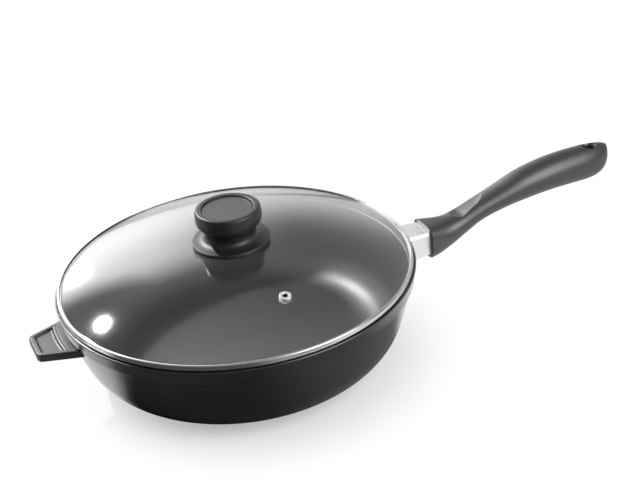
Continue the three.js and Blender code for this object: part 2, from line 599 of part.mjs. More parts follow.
// Screw of the knob, with a slotted head under the glass.
function knobScrew() {
  const headBottom = screwHeadTop - KNOB_SCREW_HEAD_HEIGHT;
  const tip = knobCeiling + KNOB_SCREW_ENGAGEMENT;
  const edge = KNOB_SCREW_HEAD_HEIGHT / 4;
  const bar = turned(profileOf([
    [0, headBottom], [KNOB_SCREW_HEAD_RADIUS - edge, headBottom],
    [KNOB_SCREW_HEAD_RADIUS, headBottom + edge], [KNOB_SCREW_HEAD_RADIUS, screwHeadTop],
    [KNOB_SCREW_RADIUS, screwHeadTop],
    [KNOB_SCREW_RADIUS, tip - edge], [KNOB_SCREW_RADIUS - edge, tip], [0, tip],
  ]), SMALL_FACETS);
  const reach = 2 * KNOB_SCREW_HEAD_RADIUS;
  const half = KNOB_SCREW_SLOT / 2;
  const slot = block([-reach, -half, headBottom - reach], [reach, half, headBottom + KNOB_SCREW_SLOT_DEPTH]);
  return bar.subtract(slot);
}

// Lower seal: a silicone grommet with a collar that keeps the screw off the glass.
function knobSealLower() {
  const collarTop = glassUnderside + SEAL_COLLAR;
  const collarRadius = KNOB_HOLE_RADIUS - FIT_GAP;
  return turned(profileOf([
    [screwHole, lowerSealBottom], [SEAL_RADIUS, lowerSealBottom], [SEAL_RADIUS, lowerSealTop],
    [collarRadius, lowerSealTop], [collarRadius, collarTop], [screwHole, collarTop],
    [screwHole, lowerSealBottom],
  ]), KNOB_FACETS);
}

// The vent stands square on the dome.
const ventTurn = new THREE.Group();
ventTurn.rotation.z = THREE.MathUtils.degToRad(VENT_ANGLE);
const ventTilt = new THREE.Group();
ventTilt.position.set(VENT_AT, 0, domeHeight(VENT_AT));
ventTilt.rotation.y = Math.asin(VENT_AT / domeRadius);
ventTurn.add(ventTilt);
ventTurn.updateMatrixWorld(true);

const upperSealTop = upperSealBottom + SEAL_THICKNESS;
const insertTop = knobCeiling + INSERT_LENGTH;
const upperSeal = ring(screwHole, SEAL_RADIUS, upperSealBottom, upperSealTop, KNOB_FACETS);
const insert = ring(screwHole, INSERT_RADIUS, knobCeiling, insertTop, SMALL_FACETS);
const knobWasher = ring(screwHole, KNOB_WASHER_RADIUS, washerBottom, washerTop, KNOB_FACETS);
const ventWasher = ring(ventHole, VENT_FLANGE_RADIUS, ventWasherBottom, ventWasherTop, SMALL_FACETS);

ventTilt.add(
  piece('vent_eyelet', ventEyelet(), 0xd6d6d2, 0.22, 1),
  piece('vent_washer', ventWasher, 0xc9c9c5, 0.35, 1),
);

const lid = new THREE.Group();
lid.add(
  piece('lid_glass', lidGlass(ventTilt.matrixWorld), 0xdfe4e2, 0.03, 0),
  piece('lid_rim_band', lidRimBand(), 0xdcdcd8, 0.18, 1),
  piece('knob_body', knobBody(), 0x1f1f1e, 0.42, 0),
  piece('knob_cap', knobCap(), 0x5d5d5a, 0.5, 0),
  piece('knob_insert', insert, 0xb08d4a, 0.4, 1),
  piece('knob_screw', knobScrew(), 0xc4c4c0, 0.3, 1),
  piece('knob_washer', knobWasher, 0xc9c9c5, 0.35, 1),
  piece('knob_seal_upper', upperSeal, 0x2b2b2a, 0.8, 0),
  piece('knob_seal_lower', knobSealLower(), 0x2b2b2a, 0.8, 0),
  ventTurn,
);

const pan = new THREE.Group();
pan.add(
  piece('pan_body', panBody(), 0x2c2c2b, 0.45, 0.2),
  piece('flame_guard', flameGuard(), 0xd5d4d0, 0.25, 1),
  piece('handle_grip', handleGrip(), 0x3a3a39, 0.5, 0),
  piece('handle_screw', handleScrew(), 0xbdbdb9, 0.35, 1),
  piece('handle_lock_washer', handleLockWasher(), 0xb4b4b0, 0.4, 1),
);

const sautePan = new THREE.Group();
sautePan.add(pan, lid);

export default sautePan;
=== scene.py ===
import math

import bmesh
import bpy
from mathutils import Matrix, Vector


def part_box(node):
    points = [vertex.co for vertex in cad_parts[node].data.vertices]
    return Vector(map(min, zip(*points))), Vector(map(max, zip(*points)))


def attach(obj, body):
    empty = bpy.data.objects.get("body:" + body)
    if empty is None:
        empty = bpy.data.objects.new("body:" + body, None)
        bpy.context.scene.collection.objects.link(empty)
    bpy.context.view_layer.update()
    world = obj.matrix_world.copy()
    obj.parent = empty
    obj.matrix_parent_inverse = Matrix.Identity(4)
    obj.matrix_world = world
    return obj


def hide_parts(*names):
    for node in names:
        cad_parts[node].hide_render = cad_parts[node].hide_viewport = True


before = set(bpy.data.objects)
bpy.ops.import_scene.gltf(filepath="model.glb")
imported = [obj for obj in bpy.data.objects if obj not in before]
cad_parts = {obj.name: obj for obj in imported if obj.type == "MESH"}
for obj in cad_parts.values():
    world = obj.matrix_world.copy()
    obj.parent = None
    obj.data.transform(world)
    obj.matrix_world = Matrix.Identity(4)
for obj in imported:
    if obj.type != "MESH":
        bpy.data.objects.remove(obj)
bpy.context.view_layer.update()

MM = 0.001


# Vessel of the pan: cast aluminium with a leaning collar under the rim and a ledge for the lid.
# A low step runs round inside under that ledge. It is coated charcoal outside and with a paler
# non-stick film inside, and its base is turned flat after coating, which leaves fine bright rings.
pan_low, pan_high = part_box("pan_body")
RIM_TOP = pan_high.z
RIM_RADIUS = pan_high.y
RIM_LIP = 1.5 * MM
RIM_ROUND = 0.7 * MM
LEDGE = RIM_TOP - 2 * MM
INNER_STEP = 0.9 * MM
INNER_STEP_AT = RIM_TOP - 8 * MM
COLLAR_LOW = RIM_TOP - 12 * MM
COLLAR_STEP = 1.4 * MM
COLLAR_LEAN = 1.8 * MM
WALL_TOP = RIM_RADIUS - COLLAR_LEAN - COLLAR_STEP
WALL_FLARE = 19.1 * MM
WALL_THICKNESS = 4.6 * MM
WALL_FOOT = WALL_TOP - WALL_FLARE
WALL_ANGLE = math.atan2(WALL_FLARE, COLLAR_LOW)
FLOOR_TOP = 7 * MM
OUTER_ROUND = 43 * MM
INNER_ROUND = 34 * MM
FOOT_STEP = 2.5 * MM
BASE_HOLLOW = 0.5 * MM
BASE_RINGS = 9
RING_PITCH = 8 * MM
RING_DEPTH = 0.25 * MM
AROUND_PAN = 256
FILM_POINTS = 20
COATED_BASE_POINTS = 8
TOOL_MARK = 0.5 * MM
TOOL_DEPTH = 0.03 * MM


def arc(centre, radius, start, end, steps):
    """Points of a round stretch of an outline, between two angles in radians."""
    angles = [start + (end - start) * i / steps for i in range(steps + 1)]
    return [(centre[0] + radius * math.cos(a), centre[1] + radius * math.sin(a)) for a in angles]


def eased(corners, steps=5):
    """Points of an outline in which a corner with a third number is rounded to that radius."""
    points = []
    for i, (x, z, *radius) in enumerate(corners):
        if not radius:
            points.append((x, z))
            continue
        here = Vector((x, z))
        to_last = (Vector(corners[i - 1][:2]) - here).normalized()
        to_next = (Vector(corners[(i + 1) % len(corners)][:2]) - here).normalized()
        half = to_last.angle(to_next) / 2
        centre = here + (to_last + to_next).normalized() * (radius[0] / math.sin(half))
        start = here + to_last * (radius[0] / math.tan(half)) - centre
        sweep = math.pi - 2 * half
        if to_last.x * to_next.y - to_last.y * to_next.x > 0:
            sweep = -sweep
        first = math.atan2(start.y, start.x)
        points += arc(centre, radius[0], first, first + sweep, steps)
    return points


def piece_from(name, mesh, sharp=math.radians(50)):
    """A smooth-shaded object from a bmesh, its broad faces kept flat by weighted normals."""
    bmesh.ops.recalc_face_normals(mesh, faces=mesh.faces)
    data = bpy.data.meshes.new(name)
    mesh.to_mesh(data)
    mesh.free()
    data.shade_smooth()
    data.set_sharp_from_angle(angle=sharp)
    piece = bpy.data.objects.new(name, data)
    bpy.context.scene.collection.objects.link(piece)
    piece.modifiers.new("even shading", "WEIGHTED_NORMAL").keep_sharp = True
    return piece


def bridge(mesh, rings, closed=False):
    """Faces between rings of vertices; a ring of one vertex closes the end to a point."""
    pairs = list(zip(rings, rings[1:] + rings[:1])) if closed else list(zip(rings, rings[1:]))
    for lower, upper in pairs:
        count = max(len(lower), len(upper))
        for i in range(count):
            j = i + 1
            corners = (lower[i % len(lower)], lower[j % len(lower)],
                       upper[j % len(upper)], upper[i % len(upper)])
            mesh.faces.new(list(dict.fromkeys(corners)))


def turned(name, outline, around=AROUND_PAN, closed=False, place=None):
    """A piece turned around the Z axis from an outline of radius and height."""
    mesh = bmesh.new()
    rings = []
    for radius, height in outline:
        if radius < 1e-7:
            rings.append([mesh.verts.new((0, 0, height))])
            continue
        angles = [2 * math.pi * i / around for i in range(around)]
        rings.append([mesh.verts.new((radius * math.cos(a), radius * math.sin(a), height)) for a in angles])
    bridge(mesh, rings, closed)
    if place is not None:
        bmesh.ops.transform(mesh, matrix=place, verts=mesh.verts)
    return piece_from(name, mesh)


class Wire:
    """A socket among a material's nodes. Arithmetic on it adds Math nodes."""

    def __init__(self, tree, socket=None):
        self.tree = tree
        self.socket = socket

    def feed(self, socket, value):
        """Links a wire to a socket, or sets the socket to a plain value."""
        if isinstance(value, Wire):
            self.tree.links.new(value.socket, socket)
        else:
            socket.default_value = value

    def add(self, kind, settings=None, sockets=None, output=0):
        """Adds any node: its settings first, then the values or links of its sockets."""
        node = self.tree.nodes.new("ShaderNode" + kind)
        for name, value in (settings or {}).items():
            setattr(node, name, value)
        for name, value in (sockets or {}).items():
            self.feed(node.inputs[name], value)
        return Wire(self.tree, node.outputs[output])

    def maths(self, operation, *values):
        """A Math node on any mix of wires and numbers."""
        return self.add("Math", {"operation": operation}, dict(enumerate(values)))

    def __add__(self, other):
        return self.maths("ADD", self, other)

    def __sub__(self, other):
        return self.maths("SUBTRACT", self, other)

    def __rsub__(self, other):
        return self.maths("SUBTRACT", other, self)

    def __mul__(self, other):
        return self.maths("MULTIPLY", self, other)

    __radd__ = __add__
    __rmul__ = __mul__

    def step(self, low, high):
        """0 below low, 1 above high, and a smooth rise between them."""
        ends = {"From Min": low, "From Max": high}
        return self.add("MapRange", {"interpolation_type": "SMOOTHSTEP"}, {"Value": self, **ends})

    def tint(self, pale, dark):
        """A colour between two others, by this value."""
        colours = {0: self, 6: (*dark, 1), 7: (*pale, 1)}
        return self.add("Mix", {"data_type": "RGBA"}, colours, 2)

    def place(self):
        """The point on the piece, in metres."""
        return self.add("TexCoord", output="Object")

    def noise(self, size, detail=2, stretch=(1, 1, 1)):
        """Soft noise from 0 to 1 with grains of a size in metres, drawn out along an axis if asked."""
        scaled = self.add("VectorMath", {"operation": "MULTIPLY"}, {0: self.place(), 1: stretch})
        return self.add("TexNoise", {}, {"Vector": scaled, "Scale": 1 / size, "Detail": detail})

    def bump(self, height, depth):
        """A normal from a height between 0 and 1 that stands for a depth in metres."""
        return self.add("Bump", {}, {"Height": height, "Distance": depth, "Strength": 1})


def finish(name, **constants):
    """A new material, the wire that adds its nodes, and its shader's inputs."""
    material = bpy.data.materials.new(name)
    material.use_nodes = True
    shader = material.node_tree.nodes["Principled BSDF"]
    for socket, value in constants.items():
        shader.inputs[socket.replace("_", " ")].default_value = value
    return material, Wire(material.node_tree), shader.inputs


def coating(name, pale, dark, roughness, grain, gloss, glaze=0):
    """Sprayed and baked film: cloudy shade, fine grain, an uneven gloss and a clear glaze if asked."""
    material, wire, shader = finish(name, Specular_IOR_Level=gloss, Coat_Weight=glaze, Coat_Roughness=0.2)
    cloud = wire.noise(60 * MM, 3)
    speck = wire.noise(0.7 * MM, 1)
    wire.feed(shader["Base Color"], (cloud * 0.4 + speck * 0.6).tint(pale, dark))
    wire.feed(shader["Roughness"], roughness + (cloud - 0.5) * 0.08 + (speck - 0.5) * 0.1)
    wire.feed(shader["Normal"], wire.bump(speck, grain))
    return material


def turned_metal(name, pale, dark, roughness):
    """Bare metal with fine rings around the Z axis from a lathe tool."""
    material, wire, shader = finish(name, Metallic=1)
    flat = wire.add("VectorMath", {"operation": "MULTIPLY"}, {0: wire.place(), 1: (1, 1, 0)})
    radius = wire.add("VectorMath", {"operation": "LENGTH"}, {0: flat}, "Value")
    marks = {"W": radius, "Scale": 1 / TOOL_MARK, "Detail": 2}
    rings = wire.add("TexNoise", {"noise_dimensions": "1D"}, marks)
    wire.feed(shader["Base Color"], rings.tint(pale, dark))
    wire.feed(shader["Roughness"], roughness + rings * 0.15)
    wire.feed(shader["Normal"], wire.bump(rings, TOOL_DEPTH))
    return material


corner_reach = math.tan((math.pi / 2 + WALL_ANGLE) / 2)
foot_centre = WALL_FOOT - OUTER_ROUND / corner_reach
foot_angle = math.asin((FOOT_STEP - OUTER_ROUND) / OUTER_ROUND)
foot_radius = foot_centre + OUTER_ROUND * math.cos(foot_angle)
inner_foot = WALL_FOOT - WALL_THICKNESS / math.cos(WALL_ANGLE)
inner_centre = inner_foot + FLOOR_TOP * math.tan(WALL_ANGLE) - INNER_ROUND / corner_reach
ledge_outer = RIM_RADIUS - RIM_LIP


def inner_wall(height):
    """Inner radius of the vessel's wall at a height."""
    return inner_foot + height * math.tan(WALL_ANGLE)


base_corners = [(0, BASE_HOLLOW)]
for ring in range(1, BASE_RINGS + 1):
    ring_at = ring * RING_PITCH
    base_corners += [(ring_at - 2 * RING_DEPTH, BASE_HOLLOW), (ring_at, BASE_HOLLOW + RING_DEPTH, RING_DEPTH),
                     (ring_at + 2 * RING_DEPTH, BASE_HOLLOW)]
base_edge = BASE_RINGS * RING_PITCH + RING_PITCH
base_corners += [(base_edge, BASE_HOLLOW, BASE_HOLLOW), (base_edge + 2 * BASE_HOLLOW, 0, BASE_HOLLOW)]
base_outline = eased(base_corners + [(foot_radius, 0, 1 * MM), (foot_radius, FOOT_STEP)])
base_outline = base_outline[:-1]
foot_outline = arc((foot_centre, OUTER_ROUND), OUTER_ROUND, foot_angle, -WALL_ANGLE, 24)
rim_outline = eased([
    (WALL_TOP - 1 * MM, COLLAR_LOW - 1 * MM / math.tan(WALL_ANGLE)),
    (WALL_TOP, COLLAR_LOW, 0.6 * MM),
    (WALL_TOP + COLLAR_STEP, COLLAR_LOW + COLLAR_STEP, 0.8 * MM),
    (RIM_RADIUS, RIM_TOP, RIM_ROUND),
    (ledge_outer, RIM_TOP, 0.45 * MM),
    (ledge_outer, LEDGE, 0.3 * MM),
    (inner_wall(LEDGE) + INNER_STEP, LEDGE, 0.5 * MM),
    (inner_wall(INNER_STEP_AT) + INNER_STEP, INNER_STEP_AT, 0.4 * MM),
    (inner_wall(INNER_STEP_AT - INNER_STEP / 2), INNER_STEP_AT - INNER_STEP / 2, 0.4 * MM),
    (inner_wall(INNER_STEP_AT - 5 * MM), INNER_STEP_AT - 5 * MM),
])
inside_outline = arc((inner_centre, FLOOR_TOP + INNER_ROUND), INNER_ROUND, -WALL_ANGLE, -math.pi / 2, 32)
inside_outline += [(inner_centre * share, FLOOR_TOP) for share in (0.96, 0.7, 0.4, 0.1, 0)]

vessel = turned("pan_vessel", base_outline + foot_outline + rim_outline + inside_outline)
vessel.data.materials.append(
    coating("charcoal_coat", (0.015, 0.015, 0.0147), (0.009, 0.009, 0.0088), 0.34, 0.004 * MM, 0.5, 1))
vessel.data.materials.append(
    coating("non_stick_film", (0.031, 0.031, 0.0302), (0.018, 0.018, 0.0175), 0.41, 0.02 * MM, 0.66))
vessel.data.materials.append(turned_metal("turned_aluminium", (0.78, 0.78, 0.77), (0.55, 0.55, 0.54), 0.28))
inside_from = len(base_outline) + len(foot_outline) + len(rim_outline) - FILM_POINTS
for face in vessel.data.polygons:
    stretch = face.index // AROUND_PAN
    if stretch >= inside_from:
        face.material_index = 1
    elif stretch < len(base_outline) - COATED_BASE_POINTS:
        face.material_index = 2
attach(vessel, "pan")
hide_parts("pan_body")


# Helper handle: a tapered tab cast on under the rim, with a dished thumb rest in its top.
# A shallow groove and a low ridge follow the rim's curve at the root of the dish.
# It has the same kind of coating as the vessel, painted paler as painted light for the light that falls on
# the tab.
TAB_TOP = RIM_TOP - 13.6 * MM
TAB_THICKNESS = 6.6 * MM
TAB_TIP = -pan_low.x
TAB_TIP_HALF = 15.5 * MM
TAB_ROOT_HALF = 27 * MM
TAB_CORNER = 5.5 * MM
TAB_EDGE = 1.3 * MM
TAB_ROOT = WALL_TOP - 3 * MM
TAB_ROOT_X = -WALL_TOP + WALL_THICKNESS
DISH_DEPTH = 1.5 * MM
TAB_LEAST_CORNER = 1 * MM
TAB_STEPS = 8
ROOT_STEPS = 24


def tab_ring(inset, root, level):
    """One ring of the tab: its plan taken in by a length, with a root end around the pan's axis."""
    tip = -TAB_TIP + inset
    slope = (TAB_ROOT_HALF - TAB_TIP_HALF) / (TAB_TIP + TAB_ROOT_X)
    across = inset * math.hypot(1, slope)

    def half_at(x):
        return TAB_TIP_HALF + slope * (x + TAB_TIP) - across

    root_x = -root
    for _ in range(8):
        root_x = -math.sqrt(root ** 2 - half_at(root_x) ** 2)
    corner = max(TAB_CORNER - inset, TAB_LEAST_CORNER)
    corners = eased([(root_x, half_at(root_x)), (tip, half_at(tip), corner),
                     (tip, -half_at(tip), corner), (root_x, -half_at(root_x))], TAB_STEPS)
    start, end = Vector(corners[0]), Vector(corners[1])
    points = [tuple(start.lerp(end, i / TAB_STEPS)) for i in range(TAB_STEPS)] + corners[1:-1]
    start, end = Vector(corners[-2]), Vector(corners[-1])
    points += [tuple(start.lerp(end, i / TAB_STEPS)) for i in range(1, TAB_STEPS)]
    sweep = math.atan2(half_at(root_x), -root_x)
    turn = [-sweep + 2 * sweep * i / ROOT_STEPS for i in range(ROOT_STEPS + 1)]
    points += [(-root * math.cos(a), root * math.sin(a)) for a in turn]
    return [(x, y, level) for x, y in points[:-1]]


def tab_rings():
    """Rings of the tab from its underside over the rounded edge and down into the dish."""
    low = TAB_TOP - TAB_THICKNESS
    round_edge = [(TAB_EDGE * (1 - math.cos(a)), TAB_EDGE * (1 - math.sin(a))) for a in
                  [math.pi / 2 * i / 5 for i in range(6)]]
    rings = [tab_ring(6 * MM, TAB_ROOT, low)]
    rings += [tab_ring(inset, TAB_ROOT, low + rise) for inset, rise in reversed(round_edge)]
    rings += [tab_ring(inset, TAB_ROOT, TAB_TOP - drop) for inset, drop in round_edge]
    dish = [(2.6, 145, 0), (2.9, 145.6, 0.02), (3.1, 146.3, 0.08), (3.2, 146.6, 0.1), (3.3, 146.9, 0.08),
            (3.4, 147.4, 0.02), (3.5, 147.8, 0.02), (3.7, 148.4, 0.1), (4.1, 149, 0.45), (4.6, 149.6, 1),
            (5, 150.1, 1.35), (5.5, 150.8, DISH_DEPTH / MM)]
    rings += [tab_ring(inset * MM, root * MM, TAB_TOP - drop * MM) for inset, root, drop in dish]
    rings += [tab_ring(6.5 * MM, 152 * MM, TAB_TOP - DISH_DEPTH)]
    return rings


tab_mesh = bmesh.new()
tab_vertices = [[tab_mesh.verts.new(point) for point in ring] for ring in tab_rings()]
bridge(tab_mesh, tab_vertices)
tab_mesh.faces.new(tab_vertices[0])
tab_mesh.faces.new(tab_vertices[-1])
helper = piece_from("helper_handle", tab_mesh)
# Painted light: the tab's coat is the vessel's charcoal coat made paler for the light on the tab, not a paler
# coating.
helper.data.materials.append(
    coating("tab_coat_painted_paler", (0.036, 0.036, 0.0353), (0.024, 0.024, 0.0235), 0.4, 0.008 * MM, 0.6))
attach(helper, "pan")
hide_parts("pan_body")


# Flame guard: a square sleeve of satin stainless sheet pushed over the stub of the long handle.
# Its corners are broken, it widens a little towards the pan, and it is cut to the wall's curve.
SLEEVE_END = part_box("flame_guard")[1].x
STUB_AXIS = RIM_TOP - 22.3 * MM
GRIP_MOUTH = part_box("handle_grip")[0].x
SLEEVE_HALF_WIDTH = 13.15 * MM
SLEEVE_HALF_HEIGHT = 10.3 * MM
SLEEVE_GAUGE = 1 * MM
SLEEVE_BEVEL = 1.8 * MM
SLEEVE_FLARE = 1.4 * MM
BARE_LENGTH = GRIP_MOUTH - RIM_RADIUS
TOUCH = 0.3 * MM


def wall_radius(height):
    """Outer radius of the vessel's wall and collar at a height."""
    if height < COLLAR_LOW:
        return WALL_FOOT + height * math.tan(WALL_ANGLE)
    if height < COLLAR_LOW + COLLAR_STEP:
        return WALL_TOP + height - COLLAR_LOW
    lean = (height - COLLAR_LOW - COLLAR_STEP) / (RIM_TOP - COLLAR_LOW - COLLAR_STEP)
    return WALL_TOP + COLLAR_STEP + COLLAR_LEAN * lean


def square_section(inset, per_side=14):
    """Points of the sleeve's section, with its corners broken and their edges softened."""
    wide, high = SLEEVE_HALF_WIDTH - inset, SLEEVE_HALF_HEIGHT - inset
    bevel = max(SLEEVE_BEVEL - inset * 0.6, 0.5 * MM)
    soft = 0.3 * MM
    corners = eased([(wide, -high + bevel, soft), (wide, high - bevel, soft), (wide - bevel, high, soft),
                     (-wide + bevel, high, soft), (-wide, high - bevel, soft), (-wide, -high + bevel, soft),
                     (-wide + bevel, -high, soft), (wide - bevel, -high, soft)], 3)
    points = []
    for start, end in zip(corners, corners[1:] + corners[:1]):
        start, end = Vector(start), Vector(end)
        parts = per_side if (end - start).length > 4 * MM else 1
        points += [start.lerp(end, i / parts) for i in range(parts)]
    return points


def sleeve_point(point, along):
    """A point of the section carried to a place along the sleeve, which widens towards the pan."""
    spread = SLEEVE_FLARE * (GRIP_MOUTH - along) / BARE_LENGTH
    y = point.x + math.copysign(spread, point.x)
    z = point.y + math.copysign(spread, point.y)
    return Vector((along, y, STUB_AXIS + z))


def sleeve_start(point):
    """The same point where the sleeve meets the wall."""
    along = RIM_RADIUS
    for _ in range(12):
        reached = sleeve_point(point, along)
        along = math.sqrt(wall_radius(reached.z) ** 2 - reached.y ** 2) + TOUCH
    return along


guard_mesh = bmesh.new()
guard_rings = []
for inset, forward in ((0, True), (SLEEVE_GAUGE, False)):
    shares = [0, 0.02, 0.25, 0.5, 0.75, 0.98, 1]
    section = square_section(inset)
    for share in shares if forward else reversed(shares):
        ring = []
        for point in section:
            begin = sleeve_start(point)
            ring.append(guard_mesh.verts.new(sleeve_point(point, begin + (SLEEVE_END - begin) * share)))
        guard_rings.append(ring)
bridge(guard_mesh, guard_rings, closed=True)
guard = piece_from("flame_guard_sleeve", guard_mesh)


def brushed_steel(name, pale, dark, roughness, grain, stretch):
    """Stainless sheet with a satin grain drawn out along one axis."""
    material, wire, shader = finish(name, Metallic=1)
    streak = wire.noise(grain, 3, stretch)
    cloud = wire.noise(18 * MM, 2)
    wire.feed(shader["Base Color"], (streak * 0.5 + cloud * 0.5).tint(pale, dark))
    wire.feed(shader["Roughness"], roughness + (streak - 0.5) * 0.18)
    wire.feed(shader["Normal"], wire.bump(streak, 0.008 * MM))
    return material


guard.data.materials.append(
    brushed_steel("satin_steel", (0.92, 0.915, 0.9), (0.82, 0.815, 0.8), 0.46, 0.5 * MM, (0.03, 1, 1)))
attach(guard, "pan")
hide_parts("flame_guard")


# Stub of the long handle: a square bar cast on to the wall, which fills the sleeve.
# It is bare cast metal under the sleeve, with a hole for the handle's screw in its end.
SCREW_RADIUS = 3 * MM
SCREW_DEPTH = 21 * MM
STUB_BURIED = 2 * MM

stub_mesh = bmesh.new()
stub_section = square_section(SLEEVE_GAUGE + TOUCH)
buried_end = [sleeve_point(point, sleeve_start(point) - STUB_BURIED) for point in stub_section]
stub_rings = [[stub_mesh.verts.new(point) for point in buried_end]]
for along in (SLEEVE_END - 0.6 * MM, SLEEVE_END):
    tuck = 0.94 if along == SLEEVE_END else 1
    stub_rings.append([stub_mesh.verts.new(sleeve_point(point * tuck, along)) for point in stub_section])
for along in (SLEEVE_END, SLEEVE_END - SCREW_DEPTH):
    ring = []
    for point in stub_section:
        round_point = point.normalized() * (SCREW_RADIUS + TOUCH)
        ring.append(stub_mesh.verts.new((along, round_point.x, STUB_AXIS + round_point.y)))
    stub_rings.append(ring)
bridge(stub_mesh, stub_rings)
stub_mesh.faces.new(stub_rings[0])
stub_mesh.faces.new(stub_rings[-1])
stub = piece_from("handle_stub", stub_mesh)
stub.data.materials.append(
    coating("bare_casting", (0.5, 0.5, 0.49), (0.36, 0.36, 0.35), 0.55, 0.03 * MM, 0.5))
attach(stub, "pan")
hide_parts("pan_body")


# Long handle: moulded phenolic, square at its mouth and round in the palm, bent up in an S.
# A thumb scoop is cut across the top of its neck, a hook hole goes through its tip, and a well
# underneath takes the screw. Heights are from the stub's axis and lengths from the mouth.
grip_low, grip_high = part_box("handle_grip")
GRIP_LENGTH = grip_high.x - grip_low.x
GRIP_TOP = [(0, 14.1), (12, 13.4), (22, 13.2), (28, 14.2), (34, 15.7), (40, 17.7), (46, 19.9), (54, 22.7),
            (62, 25.3), (72, 28.7), (94, 36.5), (118, 41.2), (142, 43.1), (184, 42.8)]
GRIP_BOTTOM = [(0, -14.5), (10, -14.1), (22, -10.7), (36, -4.3), (52, 3), (72, 7.9), (94, 10.7), (118, 12.5),
               (142, 12.5), (184, 11.3)]
GRIP_HALF_WIDTH = [(0, 17), (10, 16.2), (22, 14.6), (37, 12.6), (54, 12), (77, 13.3), (102, 14.8),
                   (126, 15.2), (151, 14.3), (184, 13.3)]
SCOOP_NEAR_EDGE = [(27, 2), (28, -1), (29.2, -4), (31.5, -6.6), (34.8, -7.9), (40.5, -6.6), (44.8, -5.8),
                   (50.2, -4.8), (54, -3.1), (56.5, -1.2), (59, 1.6), (61.5, 4.8)]
SCOOP_FAR_EDGE = [(27, 2), (27.6, 4.6), (29.2, 6.6), (31.5, 7.7), (34.8, 8.2), (40.5, 7.7), (46, 7.3),
                  (52, 6.9), (57, 6.2), (60, 5.5), (61.5, 4.8)]
MOUTH_CHAMFER = 0.7
SQUARENESS = [(0, 4), (6, 3.2), (12, 2.65), (20, 2.3), (36, 2.2), (56, 2.1), (80, 2.02), (120, 2), (184, 2)]
TIP_LENGTH = 33
TIP_START = GRIP_LENGTH / MM - TIP_LENGTH
TIP_HEIGHT = 36.1
TIP_TOP_ROUND = 3.1
TIP_BOTTOM_ROUND = 3.3
TIP_SIDE_ROUND = 2.2
SOCKET_DEPTH = 8.3
SCOOP_DISH = 0.3
SCOOP_STEPS = (-1, -0.975, -0.92, -0.8, -0.55, -0.28, 0, 0.28, 0.55, 0.8, 0.92, 0.975, 1)
SIDE_STEPS = 84
SIDE_CROWDING = 0.9


def smooth_at(stations, at):
    """A smooth curve through stations of place and value, read at one place."""
    last = len(stations) - 1
    k = max(0, min(last - 1, sum(1 for place, _ in stations if place <= at) - 1))

    def slope(n):
        before, after = stations[max(0, n - 1)], stations[min(last, n + 1)]
        return (after[1] - before[1]) / (after[0] - before[0])

    (x0, y0), (x1, y1) = stations[k], stations[k + 1]
    t, span, rise = (at - x0) / (x1 - x0), x1 - x0, y1 - y0
    return (y0 + t * span * slope(k) + t ** 2 * (3 * rise - span * (2 * slope(k) + slope(k + 1)))
            + t ** 3 * (span * (slope(k) + slope(k + 1)) - 2 * rise))


def left_at(along, squareness):
    """How much of the section is left at a place: all of it, and less over the tip."""
    step = min(max((along - TIP_START) / TIP_LENGTH, 0), 1)
    return (1 - step ** squareness) ** (1 / squareness)


def height_at(stations, along, squareness):
    """Height of the grip's top or bottom at a place, drawn in to the tip's height over the tip."""
    return TIP_HEIGHT + (smooth_at(stations, along) - TIP_HEIGHT) * left_at(along, squareness)


def grip_top(along):
    """Height of the grip's top at a place along it."""
    return height_at(GRIP_TOP, along, TIP_TOP_ROUND)


def grip_section(along):
    """Middle height, half height, half width and squareness of the grip at a place along it."""
    inset = max(0, MOUTH_CHAMFER - along)
    top = grip_top(along) - inset
    bottom = height_at(GRIP_BOTTOM, along, TIP_BOTTOM_ROUND) + inset
    half_width = smooth_at(GRIP_HALF_WIDTH, along) * left_at(along, TIP_SIDE_ROUND) - inset
    return (top + bottom) / 2, (top - bottom) / 2, half_width, smooth_at(SQUARENESS, along)


SCOOP_FROM, SCOOP_TO = SCOOP_NEAR_EDGE[0][0], SCOOP_NEAR_EDGE[-1][0]


def top_strip(along, half_width):
    """Near and far edge of the scoop at a place, or of a narrow strip on top outside the scoop."""
    clear = max(SCOOP_FROM - along, along - SCOOP_TO, 0)
    if not clear:
        return smooth_at(SCOOP_NEAR_EDGE, along), smooth_at(SCOOP_FAR_EDGE, along), True
    scoop_end = SCOOP_NEAR_EDGE[0 if along < SCOOP_FROM else -1][1]
    middle = scoop_end * max(0, 1 - clear / 15)
    half = min(0.05 + 0.22 * clear, 5, 0.5 * half_width)
    return middle - half, middle + half, False


def grip_ring(along):
    """Points around the grip: across its top, or the scoop's floor, and then round its underside."""
    middle, half_height, half_width, squareness = grip_section(along)
    near, far, scooped = top_strip(along, half_width)

    def rise_at(y):
        return half_height * max(0, 1 - min(1, abs(y) / half_width) ** squareness) ** (1 / squareness)

    def angle_at(y):
        upward = (rise_at(y) / half_height) ** (squareness / 2)
        return math.atan2(upward, math.copysign((abs(y) / half_width) ** (squareness / 2), y))

    def power(value):
        return math.copysign(abs(value) ** (2 / squareness), value)

    ring = []
    for share in SCOOP_STEPS:
        across = (share + 1) / 2
        y = near + (far - near) * across
        chord = rise_at(near) + (rise_at(far) - rise_at(near)) * across
        dish = SCOOP_DISH * min(1, (far - near) / 8) * (1 - share ** 2)
        ring.append((y, middle + (chord - dish if scooped else rise_at(y))))
    first, last = angle_at(far), angle_at(near) - 2 * math.pi
    for i in range(1, SIDE_STEPS):
        share = i / SIDE_STEPS
        share = share - SIDE_CROWDING * math.sin(2 * math.pi * share) / (2 * math.pi)
        angle = first + (last - first) * share
        ring.append((half_width * power(math.cos(angle)), middle + half_height * power(math.sin(angle))))
    return ring


def grip_vertices(mesh, along, ring):
    """Vertices of a ring at a place along the grip."""
    return [mesh.verts.new((GRIP_MOUTH + along * MM, y * MM, STUB_AXIS + z * MM)) for y, z in ring]


